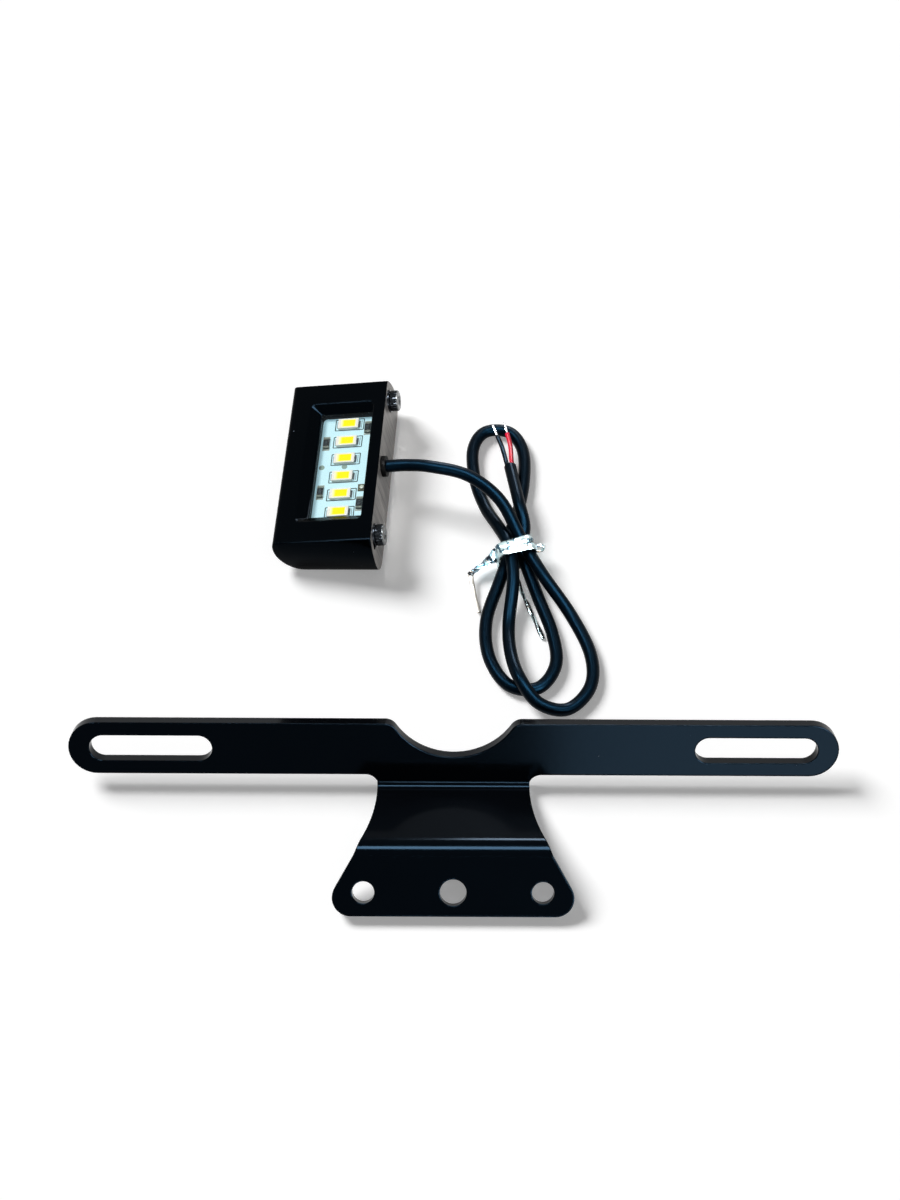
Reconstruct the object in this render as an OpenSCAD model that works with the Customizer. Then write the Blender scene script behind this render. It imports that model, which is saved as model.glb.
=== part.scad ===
// Tail tidy set: a folded steel number-plate bracket, and the LED plate lamp that goes with it,
// laid out on a table with the lamp's cable bundled by a twist tie.
// Millimetres. +Z is up from the table, X runs along the bracket's bar.

/* [Bracket sheet] */
// Thickness of the steel sheet
sheet_t = 3; // [2:0.5:4]
// Inside radius of both bends
bend_r = 1.5; // [1:0.5:3]
// Angle of the valley bend between the bar and the panel
valley_angle = 80; // [70:1:85]
// Angle of the ridge bend between the panel and the flange
ridge_angle = 60; // [50:1:70]
// Flat length of the panel between the two bends
panel_len = 17.25; // [14:0.25:22]
// Radius of the sweep along each side of the panel
side_sweep_r = 54; // [45:1:90]

/* [Bracket bar] */
// Overall length of the number-plate bar
bar_len = 178; // [160:1:210]
// Height of the bar across its flat
bar_h = 13; // [12:0.5:18]
// Height of the bar's lower edge above the valley bend
bar_rise = 1.75; // [1.5:0.25:6]
// Width of the neck that joins the bar to the panel
neck_w = 35.4; // [30:0.2:40]
// Run of the flare from the neck out along the bar's lower edge
neck_flare = 2.8; // [2:0.2:5]
// Length of each plate slot, end to end
slot_len = 28.4; // [12:0.2:32]
// Width of each plate slot
slot_w = 6.5; // [5:0.5:8]
// Distance between the centres of the two plate slots
slot_pitch = 140; // [100:1:142]
// Radius of the notch in the bar's upper edge
notch_r = 16; // [14:0.5:17]
// Height of the notch's centre above the bar's upper edge
notch_up = 7.5; // [7:0.5:10]
// Radius that rounds each shoulder of the notch
notch_shoulder_r = 3; // [1:0.5:4]

/* [Bracket flange] */
// Flat length of the flange beyond the ridge bend
flange_len = 13.6; // [12:0.2:18]
// Width of the flange where it leaves the ridge bend
flange_root_w = 44.8; // [43:0.2:47]
// Width of the flange at its widest
flange_w = 54.2; // [52:0.2:60]
// Radius of the flange's two outer corners
flange_corner_r = 4.2; // [3:0.2:5]
// Distance from the ridge bend to the row of fixing holes
hole_row = 8.2; // [7:0.2:9]
// Diameter of the centre fixing hole
centre_hole_d = 6; // [5:0.5:8]
// Diameter of each side fixing hole
side_hole_d = 5; // [4:0.5:6]
// Distance between the two side fixing holes
side_hole_pitch = 40.2; // [34:0.2:42]

/* [Lamp housing] */
// Length of the lamp housing
lamp_len = 50; // [48:1:60]
// Depth of the housing along its mounting face
lamp_d = 13; // [12:0.5:15]
// Distance from the mounting face to the centre of the rounded nose
nose_reach = 16.5; // [16:0.5:20]
// Depth of the nose's centre behind the front face
nose_depth = 2.35; // [2:0.05:3]
// Radius of the rounded nose
nose_r = 9; // [8.5:0.5:10]
// Radius that eases the nose into the front face
nose_edge_r = 1.2; // [0.6:0.2:1.8]
// Radius of the housing's rear corners at both ends
rear_corner_r = 3; // [1:0.5:4]

/* [Lamp window] */
// Length of the window at the lens
window_len = 32.8; // [32.6:0.2:38]
// Width of the window at the lens
window_w = 13.85; // [13.7:0.05:15]
// Wall between the window and the mounting face
window_wall = 3.3; // [3:0.1:5]
// Depth of the sloping frame from the front face to the lens
frame_depth = 1.8; // [1:0.2:2.4]
// Run of the sloping frame along the nose side
frame_run_nose = 2.9; // [1:0.1:3.5]
// Run of the sloping frame at each end
frame_run_end = 2.3; // [1:0.1:4]
// Run of the sloping frame along the mounting side
frame_run_mount = 0.2; // [0.1:0.1:1]
// Radius of the sloping frame's outer corners
frame_corner_r = 1.5; // [0.5:0.5:2]
// Thickness of the clear lens
lens_t = 0.8; // [0.4:0.1:1.5]
// Air gap between the lens and the light-emitting chips
lens_gap = 0.1; // [0.1:0.1:1]

/* [Lamp circuit board] */
// Length of the circuit board
board_len = 32.4; // [32:0.1:32.4]
// Width of the circuit board
board_w = 13.6; // [13:0.1:13.6]
// Thickness of the circuit board
board_t = 1.2; // [0.8:0.1:1.6]
// Radius of the circuit board's corners
board_corner_r = 1; // [0.5:0.1:1.5]
// Distance between neighbouring chips
led_pitch = 5.6; // [3.6:0.1:5.8]
// Offset of the row of chips from the board's middle, towards the mounting face
led_offset = 0.1; // [-1:0.1:1]
// Size of a chip across the row
led_w = 5.4; // [4:0.1:6]
// Size of a chip along the row
led_l = 3; // [2:0.1:3.4]
// Height of a chip above the board
led_h = 0.8; // [0.5:0.1:1.2]
// Size of a chip's glowing face across the row
phosphor_w = 3.9; // [2:0.1:3.9]
// Size of a chip's glowing face along the row
phosphor_l = 2.3; // [1:0.1:2.4]
// Depth of the cup that holds the glowing face
phosphor_t = 0.2; // [0.1:0.1:0.3]
// Distance from the board's long edges to the resistors
resistor_inset = 1.5; // [1:0.1:1.8]
// Size of a resistor across the board
resistor_w = 1.6; // [1:0.1:1.8]
// Length of a resistor
resistor_l = 3.2; // [2:0.1:3.6]
// Height of a resistor
resistor_h = 0.55; // [0.3:0.05:0.7]
// Side of the square solder pad
pad_side = 2.1; // [1:0.1:2.4]
// Thickness of the square solder pad
pad_t = 0.2; // [0.1:0.1:0.4]

/* [Lamp fixings] */
// Distance between the two mounting screws
screw_pitch = 43; // [41:0.5:43.5]
// Depth of the screws and the cable behind the front face
screw_depth = 3.8; // [3.6:0.1:5]
// Thread diameter of the mounting screws
screw_d = 3; // [2:0.5:3]
// Length of each screw under its head
screw_len = 8; // [6:1:10]
// Diameter of each screw's head
head_d = 5.5; // [5:0.1:6]
// Height of each screw's head
head_h = 3; // [2:0.1:3.5]
// Size of the hexagon socket across its flats
socket_af = 2.5; // [2:0.1:2.5]
// Depth of the hexagon socket
socket_depth = 1.5; // [1:0.1:1.8]
// Number of knurled grooves round each screw's head
knurl_count = 24; // [16:1:30]
// Radius of each knurled groove
knurl_r = 0.25; // [0.15:0.05:0.3]
// Outer diameter of each washer
washer_d = 6; // [5:0.2:7]
// Thickness of each washer
washer_t = 0.8; // [0.5:0.1:1]
// Clearance round each screw and the grommet's stem in its hole
fit_gap = 0.1; // [0.05:0.05:0.2]
// Outer diameter of the cable grommet's collar
collar_d = 5.4; // [4.6:0.2:6]
// Thickness of the grommet's collar
collar_t = 1.2; // [0.8:0.1:2]
// Diameter of the grommet's stem in the wall
stem_d = 4.2; // [3.6:0.2:4.4]
// Length of the grommet's stem
stem_len = 2.8; // [2:0.1:2.9]

/* [Cable and tie] */
// Diameter of the lamp's cable
cable_d = 3.2; // [2.6:0.1:3.2]
// Diameter of each insulated wire inside the cable
wire_d = 1.2; // [0.8:0.1:1.3]
// Diameter of the bare end of each wire
tip_d = 0.8; // [0.4:0.1:0.8]
// Length of the bare end of each wire
tip_len = 3.6; // [2:0.2:5]
// Width of each turn of the twist tie
tie_w = 2; // [1.5:0.1:2]
// Thickness of the twist tie
tie_t = 0.5; // [0.3:0.1:0.5]
// Width of the tie's loose strip
tie_strip_w = 1.2; // [0.8:0.1:1.6]
// Width of the tie's low tail
tie_low_tail_w = 0.8; // [0.6:0.1:1]

/* [Layout on the table] */
// Depth of the laid-out set, front to back
layout_depth = 145.5; // [140:0.5:160]
// Offset of the lamp's centre from the bracket's centre line
lamp_x = -31.1; // [-45:0.1:-30]
// Turn of the lamp on the table
lamp_turn = 3.6; // [0:0.1:10]
// Roll of the lamp on its rounded nose
lamp_roll = 10.8; // [6:0.1:14]

/* [Hidden] */
CHIPS = [1:6];
$fn = 64;
// A cut runs past the face it opens by this much
over = 1;
// The flat stretches of the sheet run into its bends by this much
lap = 0.02;
// Where a bend or a round meets a flat, it stands proud by this much, so that the two cross cleanly
proud = 0.002;

function tangent_turn(centre, r) = atan2(centre.x, centre.y) + asin(r / norm(centre));

// Bracket sizes that follow from the sheet
outer_r = bend_r + sheet_t;
sweep_drop = side_sweep_r - sqrt(side_sweep_r ^ 2 - panel_len ^ 2);
panel_end_w = neck_w + 2 * sweep_drop;
flare_r = (neck_flare ^ 2 + bar_rise ^ 2) / (2 * bar_rise);
bar_top = bar_rise + bar_h;
shoulder_x = sqrt((notch_r + notch_shoulder_r - proud) ^ 2 - (notch_up + notch_shoulder_r - proud) ^ 2);
ridge_steps = 24;

// The bracket rests on its valley bend and on the rear edge of its flange
ridge_out = [-sin(ridge_angle), cos(ridge_angle)];
ridge_along = [-cos(ridge_angle), -sin(ridge_angle)];
foot = [-panel_len, -bend_r] + bend_r * ridge_out + flange_len * ridge_along;
toe = foot + sheet_t * ridge_out;
heel_to_foot = foot - [0, outer_r];
rest_turn = asin(outer_r / norm(heel_to_foot)) - 180 - atan2(heel_to_foot.y, heel_to_foot.x);
heel_to_toe = toe - [0, outer_r];
toe_reach = -(heel_to_toe.x * cos(rest_turn) - heel_to_toe.y * sin(rest_turn));
bracket_y = toe_reach - layout_depth / 2;

// Lamp sizes: a is across the lamp from the middle of its front towards the mounting face
mount_a = 12.25;
nose_a = mount_a - nose_reach;
nose_edge_a = nose_a - sqrt((nose_r - nose_edge_r) ^ 2 - (nose_depth - nose_edge_r) ^ 2);
nose_centre = [nose_a, -nose_depth];
rear_slope = atan2(lamp_d - nose_depth, nose_reach) - asin(nose_r / norm([nose_reach, lamp_d - nose_depth]));
rear_normal = [-sin(rear_slope), -cos(rear_slope)];
window_a = mount_a - window_wall;
board_a = window_a - window_w / 2;
board_depth = frame_depth + lens_t + lens_gap + led_h;
pocket_depth = board_depth + board_t;
lamp_nose_x = nose_a * cos(lamp_roll) + nose_depth * sin(lamp_roll) - nose_r;
lamp_reach = lamp_len / 2 * cos(lamp_turn) - lamp_nose_x * sin(lamp_turn);
lamp_y = layout_depth / 2 - lamp_reach;
lamp_z = nose_r + nose_depth * cos(lamp_roll) - nose_a * sin(lamp_roll);
function lamp_turned(v) =
    let (x = v.x * cos(lamp_roll) - v.z * sin(lamp_roll), z = v.x * sin(lamp_roll) + v.z * cos(lamp_roll))
    [x * cos(lamp_turn) + v.y * sin(lamp_turn), v.y * cos(lamp_turn) - x * sin(lamp_turn), z];

// Places on the board: side of the resistor row and distance along the board, then the pad's distance
RESISTORS = [[1, 12.6], [-1, 8.2], [-1, -7.4], [1, -11.5]];
PAD_ALONG = -6.6;

// The cable's way over the table after it leaves the lamp
EXIT_RUN = 5;
cable_exit = [lamp_x, lamp_y, lamp_z] + lamp_turned([mount_a + collar_t, 0, -screw_depth]);
cable_route = concat(
    [cable_exit, cable_exit + lamp_turned([EXIT_RUN, 0, 0])],
    // Lead, down to the tie
    [[-6, 44.5, 13], [3.5, 42.6, 11.8], [11.5, 36.8, 9.4], [17, 27, 5.8]],
    // Large loop below the tie
    [[22, 17.4, 4.8], [29, 7, 2.1], [33.4, -4, 1.7], [33, -13, 1.7], [27.4, -19.3, 1.9], [20.4, -18.6, 3.4]],
    [[15.8, -12.6, 5.1], [13.8, -4.4, 3.4], [13.5, 4.4, 2.4], [14.7, 16, 5], [13.6, 25.6, 5.7]],
    // Loop above the tie
    [[11.2, 32, 4.4], [8, 39.6, 2.1], [5.4, 48.6, 1.7], [4.9, 58.6, 1.7], [8.2, 64.4, 1.7], [14.6, 64.2, 1.7]],
    [[18, 58, 1.7], [18, 48, 1.7], [16.2, 38, 1.7], [14, 30.8, 1.9], [13.6, 24.4, 2.3]],
    // Small loop below the tie
    [[11.4, 17, 2], [8, 5.6, 1.7], [8.6, -4.8, 1.7], [13.2, -12.6, 1.7], [20.4, -13.4, 1.7], [24.8, -7, 1.7]],
    [[24.2, 2, 1.7], [20.6, 13.6, 1.8], [17.2, 26, 2.3]],
    // Tail, up to the stripped end
    [[17.8, 32.6, 4], [16.4, 39.4, 5.3], [14.5, 52, 3]]
);
cable_end = cable_route[len(cable_route) - 1];
end_heading = unit(cable_end - cable_route[len(cable_route) - 2]);
end_side = unit(cross(end_heading, [0, 0, 1]));
// The two wires leave the jacket side by side and straight, then part
WIRE_SPREAD = 1.4;
WIRE_RUN = 2;
red_start = cable_end + WIRE_SPREAD / 2 * end_side;
black_start = cable_end - WIRE_SPREAD / 2 * end_side;
red_route = [red_start, red_start + WIRE_RUN * end_heading, [14.6, 58, 4.1], [13.8, 61.6, 4.7]];
black_route = [black_start, black_start + WIRE_RUN * end_heading, [12.4, 57.6, 4.1], [11.2, 60.8, 4.7]];

// The twist tie's place, the bundle it goes round, and its free ends
TIE_CENTRE = [15.3, 26.1, 4.2];
TIE_TURN = 17;
TIE_BUNDLE = [8.8, 7.4];
TIE_CORNER_R = 1.2;
TIE_TAIL = [[11.2, 24.6, 3.4], [8.6, 22.4, 3], [5.4, 20.2, 2.6], [4.2, 19, 2.4]];
TIE_STRIP = [[4, 18.6, 2.2], [6, 9.2, 0.6]];
TIE_LOW_TAIL = [[15.8, 24.6, 0.27], [16.2, 18.6, 0.4], [18.8, 11, 0.4], [21.6, 3.2, 0.4]];

function unit(v) = v / norm(v);
function between(a, b, c, d, s) =
    (2 * b + (c - a) * s + (2 * a - 5 * b + 4 * c - d) * s ^ 2 + (3 * b - a - 3 * c + d) * s ^ 3) / 2;
function smooth_line(route, steps) =
    let (n = len(route), p = concat([2 * route[0] - route[1]], route, [2 * route[n - 1] - route[n - 2]]))
    [for (i = [0:n - 2], j = [0:steps - 1]) between(p[i], p[i + 1], p[i + 2], p[i + 3], j / steps), route[n - 1]];
function heading(route, line, i) =
    i == 0 ? unit(route[1] - route[0])
    : i == len(line) - 1 ? unit(route[len(route) - 1] - route[len(route) - 2])
    : unit(line[i + 1] - line[i - 1]);

// Bracket
module notch_outline() {
    centre = [0, bar_top + notch_up];
    translate(centre) circle(notch_r);
    for (side = [-1, 1]) {
        shoulder = [side * shoulder_x, bar_top - notch_shoulder_r + proud];
        difference() {
            polygon([centre, [shoulder.x, centre.y], shoulder]);
            translate(shoulder) circle(notch_shoulder_r);
        }
    }
}

module neck_outline() {
    difference() {
        union() {
            translate([-neck_w / 2 - neck_flare, 0]) square([neck_w + 2 * neck_flare, bar_rise + bar_h / 4]);
            translate([-neck_w / 2, -lap]) square([neck_w, 2 * lap]);
        }
        for (side = [-1, 1])
            translate([side * (neck_w / 2 + neck_flare), bar_rise - flare_r + proud]) circle(flare_r);
    }
}

module stadium(length, width) {
    square([length - width, width], center = true);
    for (side = [-1, 1]) translate([side * (length - width) / 2, 0]) circle(d = width);
}

module bar_outline() {
    difference() {
        union() {
            translate([0, bar_rise + bar_h / 2]) stadium(bar_len, bar_h);
            neck_outline();
        }
        for (side = [-1, 1])
            translate([side * slot_pitch / 2, bar_rise + bar_h / 2]) stadium(slot_len, slot_w);
        notch_outline();
    }
}

module panel_outline() {
    difference() {
        translate([-panel_end_w / 2, -panel_len]) square([panel_end_w, panel_len]);
        for (side = [-1, 1]) translate([side * (neck_w / 2 + side_sweep_r), 0]) circle(side_sweep_r, $fn = 256);
    }
}

// Each flange side is the tangent from the ridge bend to the corner's circle
module flange_outline() {
    corner = [flange_w / 2 - flange_corner_r, -flange_len + flange_corner_r];
    turn = tangent_turn([corner.x - flange_root_w / 2, -corner.y], flange_corner_r);
    outward = [cos(turn), sin(turn)];
    tip_x = corner.x + flange_corner_r * (1 + sin(turn)) / cos(turn);
    root = [flange_root_w / 2 - 2 * lap, lap];
    difference() {
        polygon([
            root,
            [flange_root_w / 2, 0],
            [tip_x, -flange_len],
            [-tip_x, -flange_len],
            [-flange_root_w / 2, 0],
            [-root.x, root.y],
        ]);
        for (side = [-1, 1])
            mirror([side < 0 ? 1 : 0, 0]) difference() {
                polygon([
                    corner,
                    corner + 4 * flange_corner_r * outward,
                    corner + 4 * flange_corner_r * (outward - [0, 1]),
                    corner - [0, 4 * flange_corner_r],
                ]);
                translate(corner) circle(flange_corner_r + proud);
            }
    }
}

function ridge_ring(share) =
    let (
        w = (panel_end_w + share * (flange_root_w - panel_end_w)) / 2 + proud,
        outside = outer_r + proud,
        inside = bend_r - proud,
        a = share * ridge_angle
    )
    [for (p = [[-w, outside], [w, outside], [w, inside], [-w, inside]]) [p.x, -p.y * sin(a), p.y * cos(a)]];

// The sheet widens as it goes over the ridge
module ridge_bend() {
    translate([0, -panel_len, -bend_r])
        polyhedron(
            [for (i = [0:ridge_steps]) each ridge_ring(i / ridge_steps)],
            [
                [3, 2, 1, 0],
                [for (j = [0:3]) 4 * ridge_steps + j],
                for (i = [0:ridge_steps - 1], j = [0:3])
                    [4 * i + j, 4 * i + (j + 1) % 4, 4 * i + 4 + (j + 1) % 4, 4 * i + 4 + j],
            ]
        );
}

module valley_bend() {
    translate([0, 0, outer_r]) rotate([0, 90, 0]) rotate_extrude(angle = valley_angle)
        translate([bend_r - proud, -neck_w / 2 - proud]) square([sheet_t + 2 * proud, neck_w + 2 * proud]);
}

module past_valley() {
    translate([0, 0, outer_r]) rotate([valley_angle, 0, 0]) translate([0, 0, -outer_r]) children();
}

module past_ridge() {
    translate([0, -panel_len, -bend_r]) rotate([ridge_angle, 0, 0]) translate([0, 0, bend_r]) children();
}

module flange() {
    difference() {
        linear_extrude(sheet_t) flange_outline();
        translate([0, -hole_row, -over]) cylinder(h = sheet_t + 2 * over, d = centre_hole_d);
        for (side = [-1, 1])
            translate([side * side_hole_pitch / 2, -hole_row, -over])
                cylinder(h = sheet_t + 2 * over, d = side_hole_d);
    }
}

module plate_bracket() {
    color("#17181c")
        translate([0, bracket_y, outer_r]) rotate([rest_turn, 0, 0]) translate([0, 0, -outer_r]) {
            past_valley() linear_extrude(sheet_t) bar_outline();
            valley_bend();
            linear_extrude(sheet_t) panel_outline();
            ridge_bend();
            past_ridge() flange();
        }
}

// Lamp
module lamp_placed() {
    translate([lamp_x, lamp_y, lamp_z]) rotate([0, -lamp_roll, -lamp_turn]) children();
}

// What lies outside the nose's round, from the rear face up to the front face
module nose_cut() {
    far = nose_a - 4 * nose_r;
    difference() {
        polygon([
            nose_centre,
            nose_centre + 2 * nose_r * rear_normal,
            [far, -4 * nose_r],
            [far, over],
            [nose_a, over],
        ]);
        translate(nose_centre) circle(nose_r + proud);
    }
}

// What lies outside the small round between the front face and the nose
module nose_edge_cut() {
    edge_centre = [nose_edge_a, -nose_edge_r];
    difference() {
        polygon([
            edge_centre,
            [nose_edge_a, over],
            [nose_edge_a - nose_r, over],
            edge_centre + nose_r * unit(edge_centre - nose_centre),
        ]);
        translate(edge_centre) circle(nose_edge_r + 2 * proud);
    }
}

// Section across the housing: flat mounting face, front and rear, and a round nose
module housing_section() {
    rear_touch = nose_centre + nose_r * rear_normal;
    far = nose_a - 2 * nose_r;
    difference() {
        polygon([
            [mount_a, 0],
            [mount_a, -lamp_d],
            rear_touch,
            rear_touch + 2 * nose_r * [rear_normal.y, -rear_normal.x],
            [far, 0],
        ]);
        nose_cut();
        nose_edge_cut();
    }
}

// Side outline of the housing: its two rear corners are round
module housing_side() {
    translate([-lamp_len / 2, -lamp_d + rear_corner_r]) square([lamp_len, lamp_d - rear_corner_r]);
    translate([-lamp_len / 2 + rear_corner_r, -lamp_d]) square([lamp_len - 2 * rear_corner_r, lamp_d]);
    for (end = [-1, 1])
        translate([end * (lamp_len / 2 - rear_corner_r), -lamp_d + rear_corner_r]) circle(rear_corner_r);
}

// The frame slopes from round outer corners down to the lens
module window_frame() {
    nose_side = window_a - window_w - frame_run_nose + frame_corner_r;
    mount_side = window_a + frame_run_mount - frame_corner_r;
    hull() {
        for (a = [nose_side, mount_side], end = [-1, 1])
            translate([a, end * (window_len / 2 + frame_run_end - frame_corner_r), 0])
                cylinder(h = over, r = frame_corner_r, $fn = 32);
        translate([window_a - window_w, -window_len / 2, -frame_depth]) cube([window_w, window_len, lap]);
    }
}

module on_mounting_face(along) {
    lamp_placed() translate([mount_a, along, -screw_depth]) rotate([0, 90, 0]) children();
}

module blind_hole(diameter, depth) {
    translate([0, 0, -depth]) cylinder(h = depth + over, d = diameter);
}

module lamp_housing() {
    color("#1b1c1f") difference() {
        lamp_placed() difference() {
            intersection() {
                rotate([90, 0, 0]) linear_extrude(lamp_len, center = true) housing_section();
                rotate([90, 0, 90]) linear_extrude(4 * nose_reach, center = true) housing_side();
            }
            window_frame();
            translate([window_a - window_w, -window_len / 2, -pocket_depth])
                cube([window_w, window_len, pocket_depth]);
        }
        for (end = [-1, 1])
            on_mounting_face(end * screw_pitch / 2) blind_hole(screw_d + 2 * fit_gap, screw_len);
        on_mounting_face(0) {
            blind_hole(stem_d + 2 * fit_gap, stem_len + fit_gap);
            blind_hole(wire_d, window_wall + over);
        }
    }
}

module lamp_lens() {
    color("#dfeef2", 0.35) lamp_placed()
        translate([window_a - window_w, -window_len / 2, -frame_depth - lens_t])
            cube([window_w, window_len, lens_t]);
}

module on_board(across, along) {
    lamp_placed() translate([board_a + across, along, -board_depth]) children();
}

module circuit_board() {
    color("#e6f6fa") on_board(0, 0)
        translate([0, 0, -board_t]) linear_extrude(board_t) rounded([board_w, board_len], board_corner_r);
}

function chip_along(i) = (CHIPS[0] + CHIPS[2]) / 2 * led_pitch - i * led_pitch;

module led(i) {
    color("#f7f4e4") on_board(led_offset, chip_along(i)) difference() {
        translate([-led_w / 2, -led_l / 2, 0]) cube([led_w, led_l, led_h]);
        translate([-phosphor_w / 2, -phosphor_l / 2, led_h - phosphor_t])
            cube([phosphor_w, phosphor_l, phosphor_t + over]);
    }
}

module phosphor(i) {
    color("#f9e400") on_board(led_offset, chip_along(i))
        translate([-phosphor_w / 2, -phosphor_l / 2, led_h - phosphor_t])
            cube([phosphor_w, phosphor_l, phosphor_t]);
}

module resistor(i) {
    place = RESISTORS[i - 1];
    color("#26282a") on_board(place[0] * (board_w / 2 - resistor_inset), place[1])
        translate([-resistor_w / 2, -resistor_l / 2, 0]) cube([resistor_w, resistor_l, resistor_h]);
}

module solder_pad() {
    color("#6d6a3c") on_board(board_w / 2 - pad_side / 2 - pad_t, PAD_ALONG) {
        translate([-pad_side / 2, -pad_side / 2, 0]) cube([pad_side, pad_side, pad_t]);
        cylinder(h = 2 * pad_t, d = pad_side / 2);
    }
}

// Cable fixings
module cable_grommet() {
    color("#0d0d0e") on_mounting_face(0) {
        cylinder(h = collar_t, d = collar_d);
        translate([0, 0, -stem_len]) cylinder(h = stem_len + collar_t / 2, d = stem_d);
    }
}

module washer(end) {
    color("#2b2c30") on_mounting_face(end * screw_pitch / 2) difference() {
        cylinder(h = washer_t, d = washer_d);
        translate([0, 0, -over]) cylinder(h = washer_t + 2 * over, d = screw_d + 2 * fit_gap);
    }
}

module mounting_screw(end) {
    edge = head_h / 10;
    color("#3a3c42") on_mounting_face(end * screw_pitch / 2) difference() {
        union() {
            translate([0, 0, washer_t - screw_len]) cylinder(h = screw_len + head_h / 4, d = screw_d);
            translate([0, 0, washer_t]) rotate_extrude() polygon([
                [0, 0],
                [head_d / 2, 0],
                [head_d / 2, head_h - edge],
                [head_d / 2 - edge, head_h],
                [0, head_h],
            ]);
        }
        translate([0, 0, washer_t + head_h - socket_depth])
            cylinder(h = socket_depth + over, d = socket_af / cos(30), $fn = 6);
        for (i = [1:knurl_count])
            rotate([0, 0, i * 360 / knurl_count])
                translate([head_d / 2 + knurl_r / 3, 0, washer_t + edge]) cylinder(h = head_h, r = knurl_r);
    }
}

// Cable, wires and tie
module tube(route, width, height, sides, steps) {
    line = smooth_line(route, steps);
    last_ring = len(line) - 1;
    ahead = [for (i = [0:last_ring]) heading(route, line, i)];
    points = [
        for (i = [0:last_ring])
            let (side = unit(cross([0, 0, 1], ahead[i])), rise = cross(ahead[i], side))
                for (k = [0:sides - 1])
                    let (a = 360 * (k + 0.5) / sides)
                        line[i] + width / 2 * cos(a) * side + height / 2 * sin(a) * rise
    ];
    polyhedron(points, [
        [for (k = [0:sides - 1]) k],
        [for (k = [sides - 1:-1:0]) last_ring * sides + k],
        for (i = [0:last_ring - 1], k = [0:sides - 1])
            let (next = (k + 1) % sides)
                [(i + 1) * sides + k, (i + 1) * sides + next, i * sides + next, i * sides + k],
    ]);
}

module lamp_cable() {
    color("#15171b") tube(cable_route, cable_d, cable_d, 8, 2);
}

module wire(route) {
    tube(route, wire_d, wire_d, 8, 2);
}

module wire_tip(route) {
    far = len(route) - 1;
    color("#c9ccd2")
        tube([route[far], route[far] + tip_len * unit(route[far] - route[far - 1])], tip_d, tip_d, 8, 1);
}

module red_wire() { color("#d3132f") wire(red_route); }
module black_wire() { color("#1a1a1c") wire(black_route); }
module red_wire_tip() { wire_tip(red_route); }
module black_wire_tip() { wire_tip(black_route); }

module rounded(size, r) {
    square([size.x - 2 * r, size.y], center = true);
    square([size.x, size.y - 2 * r], center = true);
    for (x = [-1, 1], y = [-1, 1]) translate([x * (size.x / 2 - r), y * (size.y / 2 - r)]) circle(r);
}

module tie_turn() {
    rotate([90, 0, 0]) linear_extrude(tie_w, center = true) difference() {
        rounded(TIE_BUNDLE + 2 * [tie_t, tie_t], TIE_CORNER_R + tie_t);
        rounded(TIE_BUNDLE, TIE_CORNER_R);
    }
}

module twist_tie() {
    color("#b9c3c8") {
        for (turn = [-1, 1])
            translate(TIE_CENTRE) rotate([0, 0, TIE_TURN]) translate([0, turn * (tie_w + lap) / 2, 0]) tie_turn();
        tube(TIE_TAIL, tie_w, 2 * tie_t, 8, 2);
        tube(TIE_STRIP, tie_strip_w, tie_t, 8, 1);
        tube(TIE_LOW_TAIL, tie_low_tail_w, tie_t, 8, 2);
    }
}

plate_bracket();
lamp_housing();
lamp_lens();
circuit_board();
for (i = CHIPS) {
    led(i);
    phosphor(i);
}
for (i = [1:4]) resistor(i);
solder_pad();
cable_grommet();
mounting_screw(1);  // mounting_screw_upper
mounting_screw(-1);  // mounting_screw_lower
washer(1);  // washer_upper
washer(-1);  // washer_lower
lamp_cable();
red_wire();
black_wire();
red_wire_tip();
black_wire_tip();
twist_tie();
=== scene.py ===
"""Looks of the tail tidy set: the folded number-plate bracket, and the plate lamp with its tied cable."""
import logging
import math
from dataclasses import dataclass, field
from enum import Enum

import bmesh
import bpy
from mathutils import Euler, Matrix, Vector, noise


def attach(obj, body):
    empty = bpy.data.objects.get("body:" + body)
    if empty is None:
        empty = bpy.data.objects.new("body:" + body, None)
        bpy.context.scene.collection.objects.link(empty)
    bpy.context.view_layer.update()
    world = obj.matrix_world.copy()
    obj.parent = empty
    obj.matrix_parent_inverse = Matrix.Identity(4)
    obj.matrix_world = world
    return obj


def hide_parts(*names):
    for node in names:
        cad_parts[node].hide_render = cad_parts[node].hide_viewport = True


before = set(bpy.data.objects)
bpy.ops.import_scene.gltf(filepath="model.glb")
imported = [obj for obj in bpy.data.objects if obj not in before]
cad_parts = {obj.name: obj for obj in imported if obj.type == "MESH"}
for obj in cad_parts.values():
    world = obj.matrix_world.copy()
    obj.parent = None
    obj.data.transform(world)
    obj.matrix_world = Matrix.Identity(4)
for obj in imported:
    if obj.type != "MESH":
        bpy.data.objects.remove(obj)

LOG = logging.getLogger("tail_tidy")
MM = 0.001
BODY = "root"
NODES: dict[str, bpy.types.Object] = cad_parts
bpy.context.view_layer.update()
CRINKLE_SEED = 7
GRAIN_SPAN = (0.3, 0.7)
WELD_GAP = 0.004 * MM
BEVEL_FROM = math.radians(40)
Colour = tuple[float, float, float]
Point = tuple[float, float, float]


class LampEnd(Enum):
    """An end of the lamp, with its side of the lamp's middle."""

    UPPER = 1
    LOWER = -1


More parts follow.
